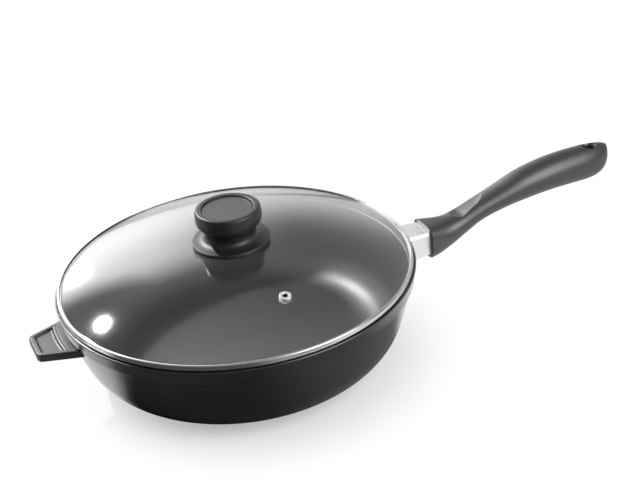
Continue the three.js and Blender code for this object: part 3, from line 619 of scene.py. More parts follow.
grip_places = [0, 0.06, 0.35, 0.64, 0.7, 0.85, 1.4]
while grip_places[-1] < TIP_START:
    in_scoop = SCOOP_FROM - 2 < grip_places[-1] < SCOOP_TO + 2
    grip_places.append(grip_places[-1] + (0.5 if in_scoop else 1.4))
grip_places += [TIP_START + TIP_LENGTH * math.sin(math.pi / 2 * i / 30) for i in range(1, 30)]
grip_places = [along for along in grip_places if along < GRIP_LENGTH / MM]

grip_mesh = bmesh.new()
mouth_ring = grip_ring(0)
socket_ring = []
for y, z in mouth_ring:
    wide = (SLEEVE_HALF_WIDTH + TOUCH) / MM
    high = (SLEEVE_HALF_HEIGHT + TOUCH) / MM
    grow = min(wide / max(abs(y), 1e-6), high / max(abs(z), 1e-6))
    socket_ring.append((y * grow, z * grow))
grip_rings = [grip_vertices(grip_mesh, SOCKET_DEPTH, socket_ring), grip_vertices(grip_mesh, 0.4, socket_ring),
              grip_vertices(grip_mesh, 0, [(y * 1.02, z * 1.02) for y, z in socket_ring])]
grip_rings += [grip_vertices(grip_mesh, along, grip_ring(along)) for along in grip_places]
grip_rings += [[grip_mesh.verts.new((grip_high.x, 0, STUB_AXIS + TIP_HEIGHT * MM))]]
bridge(grip_mesh, grip_rings)
grip_mesh.faces.new(grip_rings[0])
grip = piece_from("handle_grip_moulding", grip_mesh)

HOOK_HOLE_AT = GRIP_LENGTH / MM - 18
HOOK_HOLE_RADIUS = 5
HOOK_HOLE_ROUND = 0.8
HOOK_DISH_LENGTH = 15
HOOK_DISH_WIDTH = 11.5
HOOK_DISH_DEPTH = 1.8
HOOK_DISH_SHIFT = 2.4
HOLE_FOOT_FLARE = 4
HOLE_THROAT = 14
HOLE_THROAT_ROUND = 3
HOLE_LIP_DROP = 3.2
HOLE_LIP_FLARE = 3
CUT_OVER = 2
WELL_RADIUS = 5.3
WELL_FROM = 20.3
WELL_TO = 90


def cut(piece, cutter):
    """Cuts one closed piece out of another and removes the cutter."""
    cutter.modifiers.clear()
    step = piece.modifiers.new("cut", "BOOLEAN")
    step.operation = "DIFFERENCE"
    step.solver = "EXACT"
    step.object = cutter
    piece.modifiers.move(len(piece.modifiers) - 1, 0)
    piece.modifiers["even shading"].show_viewport = False
    data = bpy.data.meshes.new_from_object(piece.evaluated_get(bpy.context.evaluated_depsgraph_get()))
    piece.modifiers.remove(step)
    piece.modifiers["even shading"].show_viewport = True
    piece.data = data
    data.shade_smooth()
    data.set_sharp_from_angle(angle=math.radians(50))
    bpy.data.objects.remove(cutter)


def in_metres(outline):
    """An outline in millimetres, brought to metres."""
    return [(radius * MM, height * MM) for radius, height in outline]


hole_top = grip_top(HOOK_HOLE_AT)
hole_place = Matrix.Translation((GRIP_MOUTH + HOOK_HOLE_AT * MM, 0, STUB_AXIS))
hole_corners = [(0, 0), (HOOK_HOLE_RADIUS + HOLE_FOOT_FLARE, 0),
                (HOOK_HOLE_RADIUS, HOLE_THROAT, HOLE_THROAT_ROUND),
                (HOOK_HOLE_RADIUS, hole_top - HOLE_LIP_DROP, HOOK_HOLE_ROUND),
                (HOOK_HOLE_RADIUS + HOLE_LIP_FLARE, hole_top + CUT_OVER), (0, hole_top + CUT_OVER)]
dish_centre = (GRIP_MOUTH + (HOOK_HOLE_AT - HOOK_DISH_SHIFT) * MM, 0, STUB_AXIS + hole_top * MM)
dish_size = (HOOK_DISH_LENGTH / 2 * MM, HOOK_DISH_WIDTH / 2 * MM, HOOK_DISH_DEPTH * MM, 1)
dish_place = Matrix.Translation(dish_centre) @ Matrix.Diagonal(dish_size)
cut(grip, turned("hook_dish", arc((0, 0), 1, -math.pi / 2, math.pi / 2, 24), 64, place=dish_place))
cut(grip, turned("hook_hole", in_metres(eased(hole_corners, 6)), 64, place=hole_place))
well_place = Matrix.Translation((GRIP_MOUTH, 0, STUB_AXIS)) @ Matrix.Rotation(math.pi / 2, 4, "Y")
screw_hole = (SCREW_RADIUS + TOUCH) / MM
well_start = SOCKET_DEPTH - 1
well_outline = [(0, well_start), (screw_hole, well_start), (screw_hole, WELL_FROM),
                (WELL_RADIUS, WELL_FROM), (WELL_RADIUS, WELL_TO), (0, WELL_TO)]
cut(grip, turned("screw_well", in_metres(well_outline), 48, place=well_place))


def phenolic(name, pale, dark, roughness, grain, depth, gloss):
    """Moulded resin: an even satin skin with a fine grain and faint flow marks."""
    material, wire, shader = finish(name, Specular_IOR_Level=gloss)
    flow = wire.noise(25 * MM, 3, (0.4, 1, 1))
    skin = wire.noise(grain, 2)
    wire.feed(shader["Base Color"], (flow * 0.5 + skin * 0.5).tint(pale, dark))
    wire.feed(shader["Roughness"], roughness + (flow - 0.5) * 0.06 + (skin - 0.5) * 0.1)
    wire.feed(shader["Normal"], wire.bump(skin, depth))
    return material


grip.data.materials.clear()
grip.data.materials.append(
    phenolic("satin_phenolic", (0.03, 0.03, 0.0293), (0.018, 0.018, 0.0176), 0.42, 0.6 * MM, 0.018 * MM, 1))
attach(grip, "pan")
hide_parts("handle_grip")


# Screw of the long handle with its lock washer, down the well under the grip.
# Both are zinc-plated steel: a socket head with a hexagon recess, a rolled thread, a split ring.
SCREW_HEAD_RADIUS = 5 * MM
screw_low, screw_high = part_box("handle_screw")
washer_low, washer_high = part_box("handle_lock_washer")
HEAD_FACE = screw_high.x
HEAD_BACK = washer_high.x + TOUCH
THREAD_PITCH = 1 * MM
HEX_RADIUS = 2.4 * MM
HEX_DEPTH = 2.8 * MM
HEX_SINK = 0.2 * MM
along_x = Matrix.Translation((0, 0, STUB_AXIS)) @ Matrix.Rotation(math.pi / 2, 4, "Y")


def threaded(radius, start, end, pitch):
    """Outline corners of a thread's crests and roots between two places along its axis."""
    turns = int((end - start) / pitch)
    depth = 0.3 * pitch
    corners = []
    for i in range(turns):
        at = start + i * pitch
        corners += [(radius - depth, at), (radius, at + pitch * 0.45), (radius, at + pitch * 0.55)]
    return corners + [(radius - depth, start + turns * pitch)]


def zinc(name):
    """Zinc plating: pale grey with soft blotches and an uneven gloss."""
    material, wire, shader = finish(name, Metallic=1)
    blotch = wire.noise(2.5 * MM, 3)
    wire.feed(shader["Base Color"], blotch.tint((0.72, 0.71, 0.68), (0.52, 0.52, 0.51)))
    wire.feed(shader["Roughness"], 0.26 + blotch * 0.2)
    wire.feed(shader["Normal"], wire.bump(blotch, 0.01 * MM))
    return material


screw_outline = [(0, screw_low.x), (SCREW_RADIUS - 0.6 * MM, screw_low.x)]
screw_outline += threaded(SCREW_RADIUS, screw_low.x + 0.6 * MM, HEAD_BACK - 1 * MM, THREAD_PITCH)
screw_outline += eased([(SCREW_RADIUS - 0.3 * MM, HEAD_BACK), (SCREW_HEAD_RADIUS, HEAD_BACK, 0.3 * MM),
                        (SCREW_HEAD_RADIUS, HEAD_FACE, 0.6 * MM), (HEX_RADIUS + HEX_SINK, HEAD_FACE),
                        (HEX_RADIUS, HEAD_FACE - HEX_SINK), (0, HEAD_FACE - HEX_SINK)], 4)
handle_screw = turned("handle_screw_steel", screw_outline, 48, place=along_x)
hex_low, hex_high = HEAD_FACE - HEX_DEPTH, HEAD_FACE + 1 * MM
hexagon = [(0, hex_low), (HEX_RADIUS, hex_low), (HEX_RADIUS, hex_high), (0, hex_high)]
cut(handle_screw, turned("hexagon", hexagon, 6, place=along_x))
handle_screw.data.materials.clear()
handle_screw.data.materials.append(zinc("zinc_plating"))
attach(handle_screw, "pan")
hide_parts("handle_screw")

SPLIT = math.radians(14)
SPLIT_LIFT = 0.25 * MM
LOCK_STEPS = 60
LOCK_EDGE = 0.2 * MM
lock_bore = SCREW_RADIUS + TOUCH
lock_section = eased([
    (lock_bore, washer_low.x, LOCK_EDGE), (SCREW_HEAD_RADIUS, washer_low.x, LOCK_EDGE),
    (SCREW_HEAD_RADIUS, washer_high.x, LOCK_EDGE), (lock_bore, washer_high.x, LOCK_EDGE)], 2)
lock_mesh = bmesh.new()
lock_rings = []
for i in range(LOCK_STEPS + 1):
    turn = SPLIT / 2 + (2 * math.pi - SPLIT) * i / LOCK_STEPS
    lift = SPLIT_LIFT * (i / LOCK_STEPS - 0.5)
    ring = []
    for radius, along in lock_section:
        place = (along + lift, radius * math.sin(turn), STUB_AXIS + radius * math.cos(turn))
        ring.append(lock_mesh.verts.new(place))
    lock_rings.append(ring)
bridge(lock_mesh, lock_rings)
lock_mesh.faces.new(lock_rings[0])
lock_mesh.faces.new(lock_rings[-1])
lock_washer = piece_from("handle_lock_washer_steel", lock_mesh)
lock_washer.data.materials.append(bpy.data.materials["zinc_plating"])
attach(lock_washer, "pan")
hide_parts("handle_lock_washer")


# Lid glass: a dome of clear tempered glass with a flat border, pressed in a mould.
# It is drilled for the knob's screw and for the steam vent before it is tempered.
glass_low, glass_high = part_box("lid_glass")
GLASS_THICKNESS = 4.4 * MM
GLASS_RADIUS = glass_high.y
GLASS_BOTTOM = glass_low.z
GLASS_TOP = GLASS_BOTTOM + GLASS_THICKNESS
DOME_FOOT = GLASS_RADIUS - 1.6 * MM
DOME_RISE = 24.2 * MM
DOME_RADIUS = (DOME_FOOT ** 2 + DOME_RISE ** 2) / (2 * DOME_RISE)
DOME_CENTRE = GLASS_TOP + DOME_RISE - DOME_RADIUS
KNOB_HOLE = 5 * MM
VENT_AT = 88 * MM
VENT_TURN = math.radians(-84.7)
VENT_HOLE = 3.1 * MM


def dome_height(radius, sphere=DOME_RADIUS):
    """Height of the dome's outside, or of another sphere about its centre, at a radius."""
    return DOME_CENTRE + math.sqrt(sphere ** 2 - radius ** 2)


INNER_SPHERE = DOME_RADIUS - GLASS_THICKNESS
FOOT_BLEND = 0.8 * MM
BLEND_STEPS = 8
DOME_STEPS = 40
inner_foot_radius = math.sqrt(INNER_SPHERE ** 2 - (GLASS_BOTTOM - DOME_CENTRE) ** 2)


def dome_radii(foot):
    """Evenly spaced radii from the knob's hole to where the dome starts to blend into its foot."""
    reach = foot - FOOT_BLEND - KNOB_HOLE
    return [KNOB_HOLE + reach * i / DOME_STEPS for i in range(DOME_STEPS + 1)]


def foot_blend(dome_end, flat_end):
    """A smooth run from the dome out on to the flat border."""
    (r0, z0), (r1, z1) = dome_end, flat_end
    rise, span = z1 - z0, r1 - r0
    fall = span * -r0 / (z0 - DOME_CENTRE)
    points = []
    for i in range(1, BLEND_STEPS + 1):
        t = i / BLEND_STEPS
        z = z0 + t * fall + t ** 2 * (3 * rise - 2 * fall) + t ** 3 * (fall - 2 * rise)
        points.append((r0 + span * t, z))
    return points


outer_side = [(radius, dome_height(radius)) for radius in dome_radii(DOME_FOOT)]
outer_side += foot_blend(outer_side[-1], (DOME_FOOT + FOOT_BLEND, GLASS_TOP))
inner_side = [(radius, dome_height(radius, INNER_SPHERE)) for radius in dome_radii(inner_foot_radius)]
inner_side += foot_blend(inner_side[-1], (inner_foot_radius + FOOT_BLEND, GLASS_BOTTOM))
glass_edge = eased([outer_side[-1], (GLASS_RADIUS, GLASS_TOP, 0.7 * MM),
                    (GLASS_RADIUS, GLASS_BOTTOM, 1.4 * MM), inner_side[-1]], 6)
glass = turned("lid_glass_dome", outer_side + glass_edge[1:-1] + inner_side[::-1], AROUND_PAN, closed=True)

vent_place = (Matrix.Rotation(VENT_TURN, 4, "Z") @ Matrix.Translation((VENT_AT, 0, dome_height(VENT_AT)))
              @ Matrix.Rotation(math.asin(VENT_AT / DOME_RADIUS), 4, "Y"))
drill_low, drill_high = -3 * GLASS_THICKNESS, GLASS_THICKNESS
vent_drill = [(0, drill_low), (VENT_HOLE, drill_low), (VENT_HOLE, drill_high), (0, drill_high)]
cut(glass, turned("vent_drill", vent_drill, 48, place=vent_place))

glass_finish, wire, shader = finish("clear_glass", Transmission_Weight=1, IOR=1.5)
smear = wire.noise(45 * MM, 3)
wire.feed(shader["Base Color"], smear.tint((0.97, 0.985, 0.98), (0.94, 0.965, 0.955)))
wire.feed(shader["Roughness"], 0.045 + smear.step(0.45, 0.8) * 0.02)
glass.data.materials.clear()
glass.data.materials.append(glass_finish)
glass.visible_shadow = False
glass.visible_diffuse = False
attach(glass, "lid")
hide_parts("lid_glass")


# Rim band: a bright stainless strip rolled into a channel and closed over the edge of the glass.
# Its upper leg is a narrow hem and its lower leg is wider. A fine bead runs round it above the rim.
band_low, band_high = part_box("lid_rim_band")
BAND_RADIUS = band_high.y
BAND_GAUGE = 0.6 * MM
UPPER_LEG = 2.2 * MM
LOWER_LEG = 4.2 * MM
BAND_CORNER = 1.2 * MM
BEAD_AT = RIM_TOP + 1 * MM
BEAD_HALF = 0.45 * MM
BEAD_OUT = 0.22 * MM
upper_end = BAND_RADIUS - UPPER_LEG
lower_end = BAND_RADIUS - LOWER_LEG
band_face = BAND_RADIUS - BEAD_OUT
band_back = BAND_RADIUS - BAND_GAUGE
leg_round = BAND_GAUGE * 0.45
band_outline = eased([
    (lower_end, band_low.z, leg_round), (band_face, band_low.z, 0.8 * MM),
    (band_face, BEAD_AT - BEAD_HALF), (BAND_RADIUS, BEAD_AT, 0.25 * MM), (band_face, BEAD_AT + BEAD_HALF),
    (band_face, band_high.z, BAND_CORNER), (upper_end, band_high.z, leg_round),
    (upper_end, band_high.z - BAND_GAUGE, leg_round), (band_back, band_high.z - BAND_GAUGE, 0.5 * MM),
    (band_back, band_low.z + BAND_GAUGE, 0.5 * MM), (lower_end, band_low.z + BAND_GAUGE, leg_round)], 8)
band = turned("lid_rim_band_steel", band_outline, AROUND_PAN, closed=True)
band.data.materials.append(turned_metal("bright_steel", (0.74, 0.74, 0.72), (0.64, 0.64, 0.62), 0.17))
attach(band, "lid")
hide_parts("lid_rim_band")


# Steam vent: a stainless eyelet through the glass, rolled out over a zinc-plated washer underneath.
# Its bore is painted near black as painted shade for the inside of the hole. Heights are from the top of the
# glass, square to the dome.
VENT_RADIUS = 2 * MM
VENT_TUBE = 2.8 * MM
VENT_FLANGE = 4.9 * MM
FLANGE_TOP = 1 * MM
WASHER_TOP = -GLASS_THICKNESS - TOUCH
WASHER_LOW = WASHER_TOP - 0.8 * MM
ROLL_TOP = WASHER_LOW - TOUCH
ROLL_LOW = ROLL_TOP - 0.7 * MM
ROLL_RADIUS = 4 * MM
AROUND_VENT = 64
eyelet_outline = eased([
    (VENT_RADIUS, ROLL_LOW, 0.6 * MM), (ROLL_RADIUS, ROLL_LOW, 0.3 * MM), (ROLL_RADIUS, ROLL_TOP, 0.3 * MM),
    (VENT_TUBE, ROLL_TOP), (VENT_TUBE, TOUCH), (VENT_FLANGE, TOUCH, 0.25 * MM),
    (VENT_FLANGE - 0.5 * MM, FLANGE_TOP, 0.5 * MM), (VENT_RADIUS, FLANGE_TOP, 0.6 * MM)], 6)
eyelet = turned("vent_eyelet_steel", eyelet_outline, AROUND_VENT, closed=True, place=vent_place)
eyelet.data.materials.append(
    brushed_steel("eyelet_steel", (0.92, 0.92, 0.9), (0.82, 0.82, 0.8), 0.45, 1.2 * MM, (1, 1, 1)))
# Painted shade: the bore is coloured near black for the dark inside of the hole, not for the steel's own
# colour.
eyelet.data.materials.append(
    coating("bore_painted_shade", (0.02, 0.02, 0.02), (0.01, 0.01, 0.01), 0.6, 0.01 * MM, 0.2))
for face in eyelet.data.polygons:
    face.material_index = 1 if face.index // AROUND_VENT >= len(eyelet_outline) - 2 else 0
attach(eyelet, "lid")
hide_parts("vent_eyelet")


def flat_ring(name, radii, levels, rounds, steps, around, place=None):
    """A washer between two radii and two levels, rounded at its bore and at its edge."""
    (bore, edge), (low, high), (at_bore, at_edge) = radii, levels, rounds
    outline = [(bore, low, at_bore), (edge, low, at_edge), (edge, high, at_edge), (bore, high, at_bore)]
    return turned(name, eased(outline, steps), around, closed=True, place=place)


vent_washer = flat_ring("vent_washer_steel", (VENT_HOLE, VENT_FLANGE), (WASHER_LOW, WASHER_TOP),
                        (0.15 * MM, 0.2 * MM), 3, AROUND_VENT, vent_place)
vent_washer.data.materials.append(bpy.data.materials["zinc_plating"])
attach(vent_washer, "lid")
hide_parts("vent_washer")


# Fixing of the knob: a slotted screw and washer from below, with a silicone grommet and a
# silicone ring that keep metal and resin off the glass, and a brass insert moulded in the knob.
KNOB_SCREW_RADIUS = 2.4 * MM
KNOB_SCREW_HEAD = 5 * MM
SCREW_HOLE = KNOB_SCREW_RADIUS + TOUCH
seal_low, seal_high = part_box("knob_seal_lower")
upper_low, upper_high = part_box("knob_seal_upper")
ring_low, ring_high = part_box("knob_washer")
slot_low, slot_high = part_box("knob_screw")
insert_low, insert_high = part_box("knob_insert")
SEAL_RADIUS = seal_high.y
SEAL_FLANGE = seal_low.z + 2 * MM
GROMMET_COLLAR = KNOB_HOLE - TOUCH
AROUND_SEAL = 96


def silicone(name):
    """Moulded silicone: matt and dark, with a dusty bloom."""
    material, wire, shader = finish(name, Specular_IOR_Level=0.35)
    bloom = wire.noise(4 * MM, 3)
    wire.feed(shader["Base Color"], bloom.tint((0.034, 0.034, 0.034), (0.018, 0.018, 0.018)))
    wire.feed(shader["Roughness"], 0.62 + bloom * 0.15)
    wire.feed(shader["Normal"], wire.bump(wire.noise(0.4 * MM, 2), 0.01 * MM))
    return material


lower_seal = turned("knob_grommet", eased([
    (SCREW_HOLE, seal_low.z, 0.2 * MM), (SEAL_RADIUS, seal_low.z, 0.6 * MM),
    (SEAL_RADIUS, SEAL_FLANGE, 0.5 * MM), (GROMMET_COLLAR, SEAL_FLANGE, 0.2 * MM),
    (GROMMET_COLLAR, seal_high.z, 0.4 * MM), (SCREW_HOLE, seal_high.z, 0.2 * MM)], 4),
    AROUND_SEAL, closed=True)
lower_seal.data.materials.append(silicone("dark_silicone"))
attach(lower_seal, "lid")
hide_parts("knob_seal_lower")

upper_seal = flat_ring("knob_seal_ring", (SCREW_HOLE, SEAL_RADIUS), (upper_low.z, upper_high.z),
                       (0.3 * MM, 0.5 * MM), 4, AROUND_SEAL)
upper_seal.data.materials.append(bpy.data.materials["dark_silicone"])
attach(upper_seal, "lid")
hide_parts("knob_seal_upper")

knob_washer = flat_ring("knob_washer_steel", (SCREW_HOLE, ring_high.y), (ring_low.z, ring_high.z),
                        (0.2 * MM, 0.35 * MM), 4, AROUND_SEAL)
knob_washer.data.materials.append(bpy.data.materials["zinc_plating"])
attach(knob_washer, "lid")
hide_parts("knob_washer")

HEAD_TOP = ring_low.z - TOUCH
PLAIN_SHANK = 4 * MM
KNOB_PITCH = 0.8 * MM
SLOT_SIZE = (14 * MM, 1.2 * MM, 2.8 * MM)
knob_screw_outline = eased([(0, slot_low.z), (KNOB_SCREW_HEAD, slot_low.z, 1.3 * MM),
                            (KNOB_SCREW_HEAD, HEAD_TOP, 0.3 * MM), (KNOB_SCREW_RADIUS, HEAD_TOP)], 6)
knob_screw_outline += threaded(KNOB_SCREW_RADIUS, HEAD_TOP + PLAIN_SHANK, slot_high.z - 0.6 * MM, KNOB_PITCH)
knob_screw_outline += [(KNOB_SCREW_RADIUS - 0.7 * MM, slot_high.z), (0, slot_high.z)]
knob_screw = turned("knob_screw_steel", knob_screw_outline, 64)
slot_mesh = bmesh.new()
bmesh.ops.create_cube(slot_mesh, size=1)
bmesh.ops.scale(slot_mesh, vec=SLOT_SIZE, verts=slot_mesh.verts)
bmesh.ops.translate(slot_mesh, vec=(0, 0, slot_low.z), verts=slot_mesh.verts)
cut(knob_screw, piece_from("slot", slot_mesh))
knob_screw.data.materials.clear()
knob_screw.data.materials.append(bpy.data.materials["zinc_plating"])
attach(knob_screw, "lid")
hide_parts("knob_screw")

INSERT_RADIUS = insert_high.y
INSERT_GROOVES = 6
groove_floor = INSERT_RADIUS - 0.4 * MM
insert_corners = [(SCREW_HOLE, insert_low.z), (groove_floor, insert_low.z)]
for groove in range(INSERT_GROOVES):
    level = insert_low.z + (insert_high.z - insert_low.z) * (groove + 0.5) / INSERT_GROOVES
    insert_corners += [(INSERT_RADIUS, level - 0.7 * MM), (INSERT_RADIUS, level + 0.5 * MM),
                       (groove_floor, level + 0.9 * MM)]
insert_corners += [(groove_floor, insert_high.z), (SCREW_HOLE, insert_high.z)]
insert = turned("knob_insert_brass", insert_corners, 64, closed=True)
insert.data.materials.append(turned_metal("turned_brass", (0.72, 0.52, 0.24), (0.58, 0.41, 0.17), 0.26))
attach(insert, "lid")
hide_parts("knob_insert")


# Knob: satin black phenolic with a wide foot, a waist to get the fingers round and a mushroom head.
# Its foot follows the dome and hides the upper seal, and its dished top takes a flat disc.
knob_low, knob_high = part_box("knob_body")
cap_low, cap_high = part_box("knob_cap")
KNOB_FOOT = knob_low.z
KNOB_TOP = knob_high.z
FOOT_RADIUS = knob_high.y
HEAD_RADIUS = 26.3 * MM
NECK_RADIUS = 20.3 * MM
NECK_AT = KNOB_FOOT + 8.4 * MM
BULGE_AT = KNOB_FOOT + 22.3 * MM
CAP_RADIUS = cap_high.y
POCKET = cap_low.z - TOUCH
SEAL_HOLLOW = SEAL_RADIUS + 2 * TOUCH
HOLLOW_TOP = insert_low.z
AROUND_KNOB = 128


def bend(start, pull, end, steps=10):
    """Points of a curve from start to end, drawn towards a point, without its first point."""
    a, b, c = Vector(start), Vector(pull), Vector(end)
    return [tuple(a.lerp(b, t).lerp(b.lerp(c, t), t)) for t in [i / steps for i in range(1, steps + 1)]]


foot_top = KNOB_FOOT + 3.2 * MM
knob_outline = [(0, insert_high.z + TOUCH), (INSERT_RADIUS + TOUCH, insert_high.z + TOUCH),
                (INSERT_RADIUS + TOUCH, HOLLOW_TOP), (SEAL_HOLLOW, HOLLOW_TOP),
                (SEAL_HOLLOW, dome_height(SEAL_HOLLOW) + TOUCH)]
knob_outline += eased([(FOOT_RADIUS - 2 * MM, KNOB_FOOT + 0.14 * MM), (FOOT_RADIUS, KNOB_FOOT, 0.4 * MM),
                       (FOOT_RADIUS, foot_top, 1.1 * MM), (FOOT_RADIUS - 4 * MM, foot_top + 0.5 * MM)], 7)
neck = (NECK_RADIUS, NECK_AT)
knob_outline += bend(knob_outline[-1], (NECK_RADIUS + 0.6 * MM, foot_top + 1.3 * MM), neck, 12)
knob_outline += bend(neck, (NECK_RADIUS + 0.2 * MM, NECK_AT + 4.5 * MM),
                     (HEAD_RADIUS - 2.2 * MM, NECK_AT + 8 * MM))
knob_outline += bend(knob_outline[-1], (HEAD_RADIUS, NECK_AT + 10 * MM), (HEAD_RADIUS, BULGE_AT))
lip_low = max(cap_high.z + 0.1 * MM, KNOB_TOP - 0.9 * MM)
knob_outline += eased([(HEAD_RADIUS, BULGE_AT + 1 * MM), (HEAD_RADIUS - 0.5 * MM, KNOB_TOP, 2.4 * MM),
                       (CAP_RADIUS + 1.3 * MM, KNOB_TOP - 0.1 * MM, 0.4 * MM),
                       (CAP_RADIUS + TOUCH, lip_low, 0.15 * MM), (CAP_RADIUS + TOUCH, POCKET, 0.3 * MM),
                       (0, POCKET)], 7)
knob = turned("knob_moulding", knob_outline, AROUND_KNOB)
knob.data.materials.append(
    phenolic("knob_phenolic", (0.014, 0.014, 0.0137), (0.008, 0.008, 0.0078), 0.47, 1 * MM, 0.006 * MM, 0.65))
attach(knob, "lid")
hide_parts("knob_body")


# Disc in the knob's top: a flat plate of matt grey resin, pressed into the dished head.
# A narrow raised border runs round its edge.
cap = turned("knob_disc", eased([
    (0, cap_low.z), (CAP_RADIUS, cap_low.z, 0.2 * MM), (CAP_RADIUS, cap_high.z, 0.5 * MM),
    (CAP_RADIUS - 1.5 * MM, cap_high.z, 0.2 * MM), (CAP_RADIUS - 1.8 * MM, cap_high.z - 0.15 * MM, 0.2 * MM),
    (0, cap_high.z - 0.15 * MM)], 4), AROUND_KNOB)
cap.data.materials.append(
    phenolic("matt_disc", (0.058, 0.058, 0.0567), (0.046, 0.046, 0.045), 0.56, 0.35 * MM, 0.01 * MM, 0.5))
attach(cap, "lid")
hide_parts("knob_cap")


# Table: a wide white sheet. It takes the pan's soft shade close by and is plain white further off.
# Polished pieces see it white beside and behind the pan, and a painted shade in front and on the right, where
# its colour is darkened for their reflections only.
TABLE_HALF = 8
TABLE_LEVEL = -0.05 * MM
SHEET_WHITE = 0.92
SHADE_CENTRE = (12 * MM, -18 * MM, 0)
SHADE_NEAR = 95 * MM
SHADE_FAR = 162 * MM
SHADE_LEFT_WHITE = 0.42
# Painted shade: a dark stretch in front of the pan and a grey one on the right, put in the sheet's colour for
# glossy rays only.
PAINTED_SHADE_FORWARD = (-0.1, -0.995, 0)
PAINTED_SHADE_ACROSS = (0.956, -0.294, 0)
PAINTED_SHADE_GREY = 0.07
PAINTED_SHADE_RIGHT_GREY = 0.3
PAINTED_SHADE_START = (20 * MM, 62 * MM)
PAINTED_SHADE_END = (155 * MM, 205 * MM)
PAINTED_SHADE_PALER = (0, 90 * MM)
SIDE_PAINTED_SHADE = (240 * MM, 320 * MM)
SIDE_PAINTED_SHADE_SHARE = 0.7
MIRROR_NEAR = 85 * MM
MIRROR_FAR = 145 * MM

table_mesh = bmesh.new()
corners = [(x * TABLE_HALF, y * TABLE_HALF, TABLE_LEVEL) for x, y in ((-1, -1), (1, -1), (1, 1), (-1, 1))]
table_mesh.faces.new([table_mesh.verts.new(corner) for corner in corners])
table = piece_from("table", table_mesh)
table_finish, wire, shader = finish("white_table", Roughness=0.9, Specular_IOR_Level=0)


def measured_along(wire, vector, axis):
    """How far a vector reaches along an axis."""
    return wire.add("VectorMath", {"operation": "DOT_PRODUCT"}, {0: vector, 1: axis}, "Value")


def first_through_glass(wire):
    """1 for a ray that has only passed through glass since it left the camera."""
    bounces = wire.add("LightPath", output="Diffuse Depth") + wire.add("LightPath", output="Glossy Depth")
    return wire.add("LightPath", output="Is Transmission Ray") * (1 - wire.maths("MINIMUM", bounces, 1))


from_pan = wire.add("VectorMath", {"operation": "DISTANCE"}, {0: wire.place(), 1: SHADE_CENTRE}, "Value")
away = from_pan.step(SHADE_NEAR, SHADE_FAR)
glossy_ray = wire.add("LightPath", output="Is Glossy Ray")
painted_shade_mask = measured_along(wire, wire.place(), PAINTED_SHADE_FORWARD).step(*PAINTED_SHADE_START)
across_painted_shade = measured_along(wire, wire.place(), PAINTED_SHADE_ACROSS)
painted_shade_mask = painted_shade_mask * (1 - across_painted_shade.step(*PAINTED_SHADE_END))
painted_shade_mask = wire.maths("MAXIMUM", painted_shade_mask, SIDE_PAINTED_SHADE_SHARE * across_painted_shade.step(*SIDE_PAINTED_SHADE))
seen = wire.add("LightPath", output="Is Camera Ray") * (SHADE_LEFT_WHITE + (1 - SHADE_LEFT_WHITE) * away)
through = first_through_glass(wire) * away
mirrored = glossy_ray * from_pan.step(MIRROR_NEAR, MIRROR_FAR) * (1 - painted_shade_mask)
shown_white = wire.maths("MAXIMUM", wire.maths("MAXIMUM", seen, through), mirrored)
# The painted shade's grey, paler to the right, darkens the sheet's colour for glossy rays.
painted_shade_grey = PAINTED_SHADE_GREY + (PAINTED_SHADE_RIGHT_GREY - PAINTED_SHADE_GREY) * across_painted_shade.step(*PAINTED_SHADE_PALER)
sheet_colour_with_painted_shade = SHEET_WHITE - glossy_ray * painted_shade_mask * (SHEET_WHITE - painted_shade_grey)
wire.feed(shader["Base Color"], sheet_colour_with_painted_shade.tint((1, 1, 1), (0, 0, 0)))
white = wire.add("Emission", {}, {"Color": (1, 1, 1, 1), "Strength": 1})
lit = Wire(wire.tree, wire.tree.nodes["Principled BSDF"].outputs[0])
wire.feed(wire.tree.nodes["Material Output"].inputs["Surface"],
          wire.add("MixShader", {}, {0: shown_white, 1: lit, 2: white}))
table.data.materials.append(table_finish)


# Studio: a small lamp behind the pan on the left, a tall soft box in front on the right, and a
# pale wall behind with a bright patch that the lid mirrors. The room above and in front is dim.
VIEW_TURN = math.radians(-21.5)
VIEW_RISE = math.radians(28.64)
view_back = Vector((math.sin(VIEW_TURN) * math.cos(VIEW_RISE),
                    -math.cos(VIEW_TURN) * math.cos(VIEW_RISE), math.sin(VIEW_RISE)))


def towards(azimuth, elevation):
    """Unit vector to a place in the studio, in degrees around +Z from +X and above the table."""
    a, e = math.radians(azimuth), math.radians(elevation)
    return Vector((math.cos(a) * math.cos(e), math.sin(a) * math.cos(e), math.sin(e)))


def lamp(name, shape, size, place, aim, radiance):
    """An area lamp at a place, turned to face a point, with a radiance where a white surface has 1."""
    light = bpy.data.lights.new(name, "AREA")
    light.shape = shape
    light.size, light.size_y = size
    area = size[0] * size[1] * (math.pi / 4 if shape == "ELLIPSE" else 1)
    light.energy = radiance * math.pi * area
    stand = bpy.data.objects.new(name, light)
    facing = (place - aim).normalized()
    across = (view_back - facing * view_back.dot(facing)).normalized()
    turn = Matrix((across, facing.cross(across), facing)).transposed()
    stand.matrix_world = Matrix.Translation(place) @ turn.to_4x4()
    stand.visible_camera = False
    stand.visible_transmission = False
    bpy.context.scene.collection.objects.link(stand)


LAMP_GLINT = Vector((-118.7, -35.6, 82.8)) * MM
LAMP_SIZE = (0.15, 0.088)
LAMP_DISTANCE = 1.8
LAMP_RADIANCE = 1150
lamp_place = LAMP_GLINT + LAMP_DISTANCE * towards(105, 39.9)
lamp("back_lamp", "ELLIPSE", LAMP_SIZE, lamp_place, LAMP_GLINT, LAMP_RADIANCE)
HANDLE_MIDDLE = Vector((260, 0, 80)) * MM
BOX_SIZE = (0.8, 1.1)
BOX_DISTANCE = 1.3
BOX_RADIANCE = 5.8
box_place = HANDLE_MIDDLE + BOX_DISTANCE * towards(-67, 38)
lamp("front_soft_box", "RECTANGLE", BOX_SIZE, box_place, HANDLE_MIDDLE, BOX_RADIANCE)

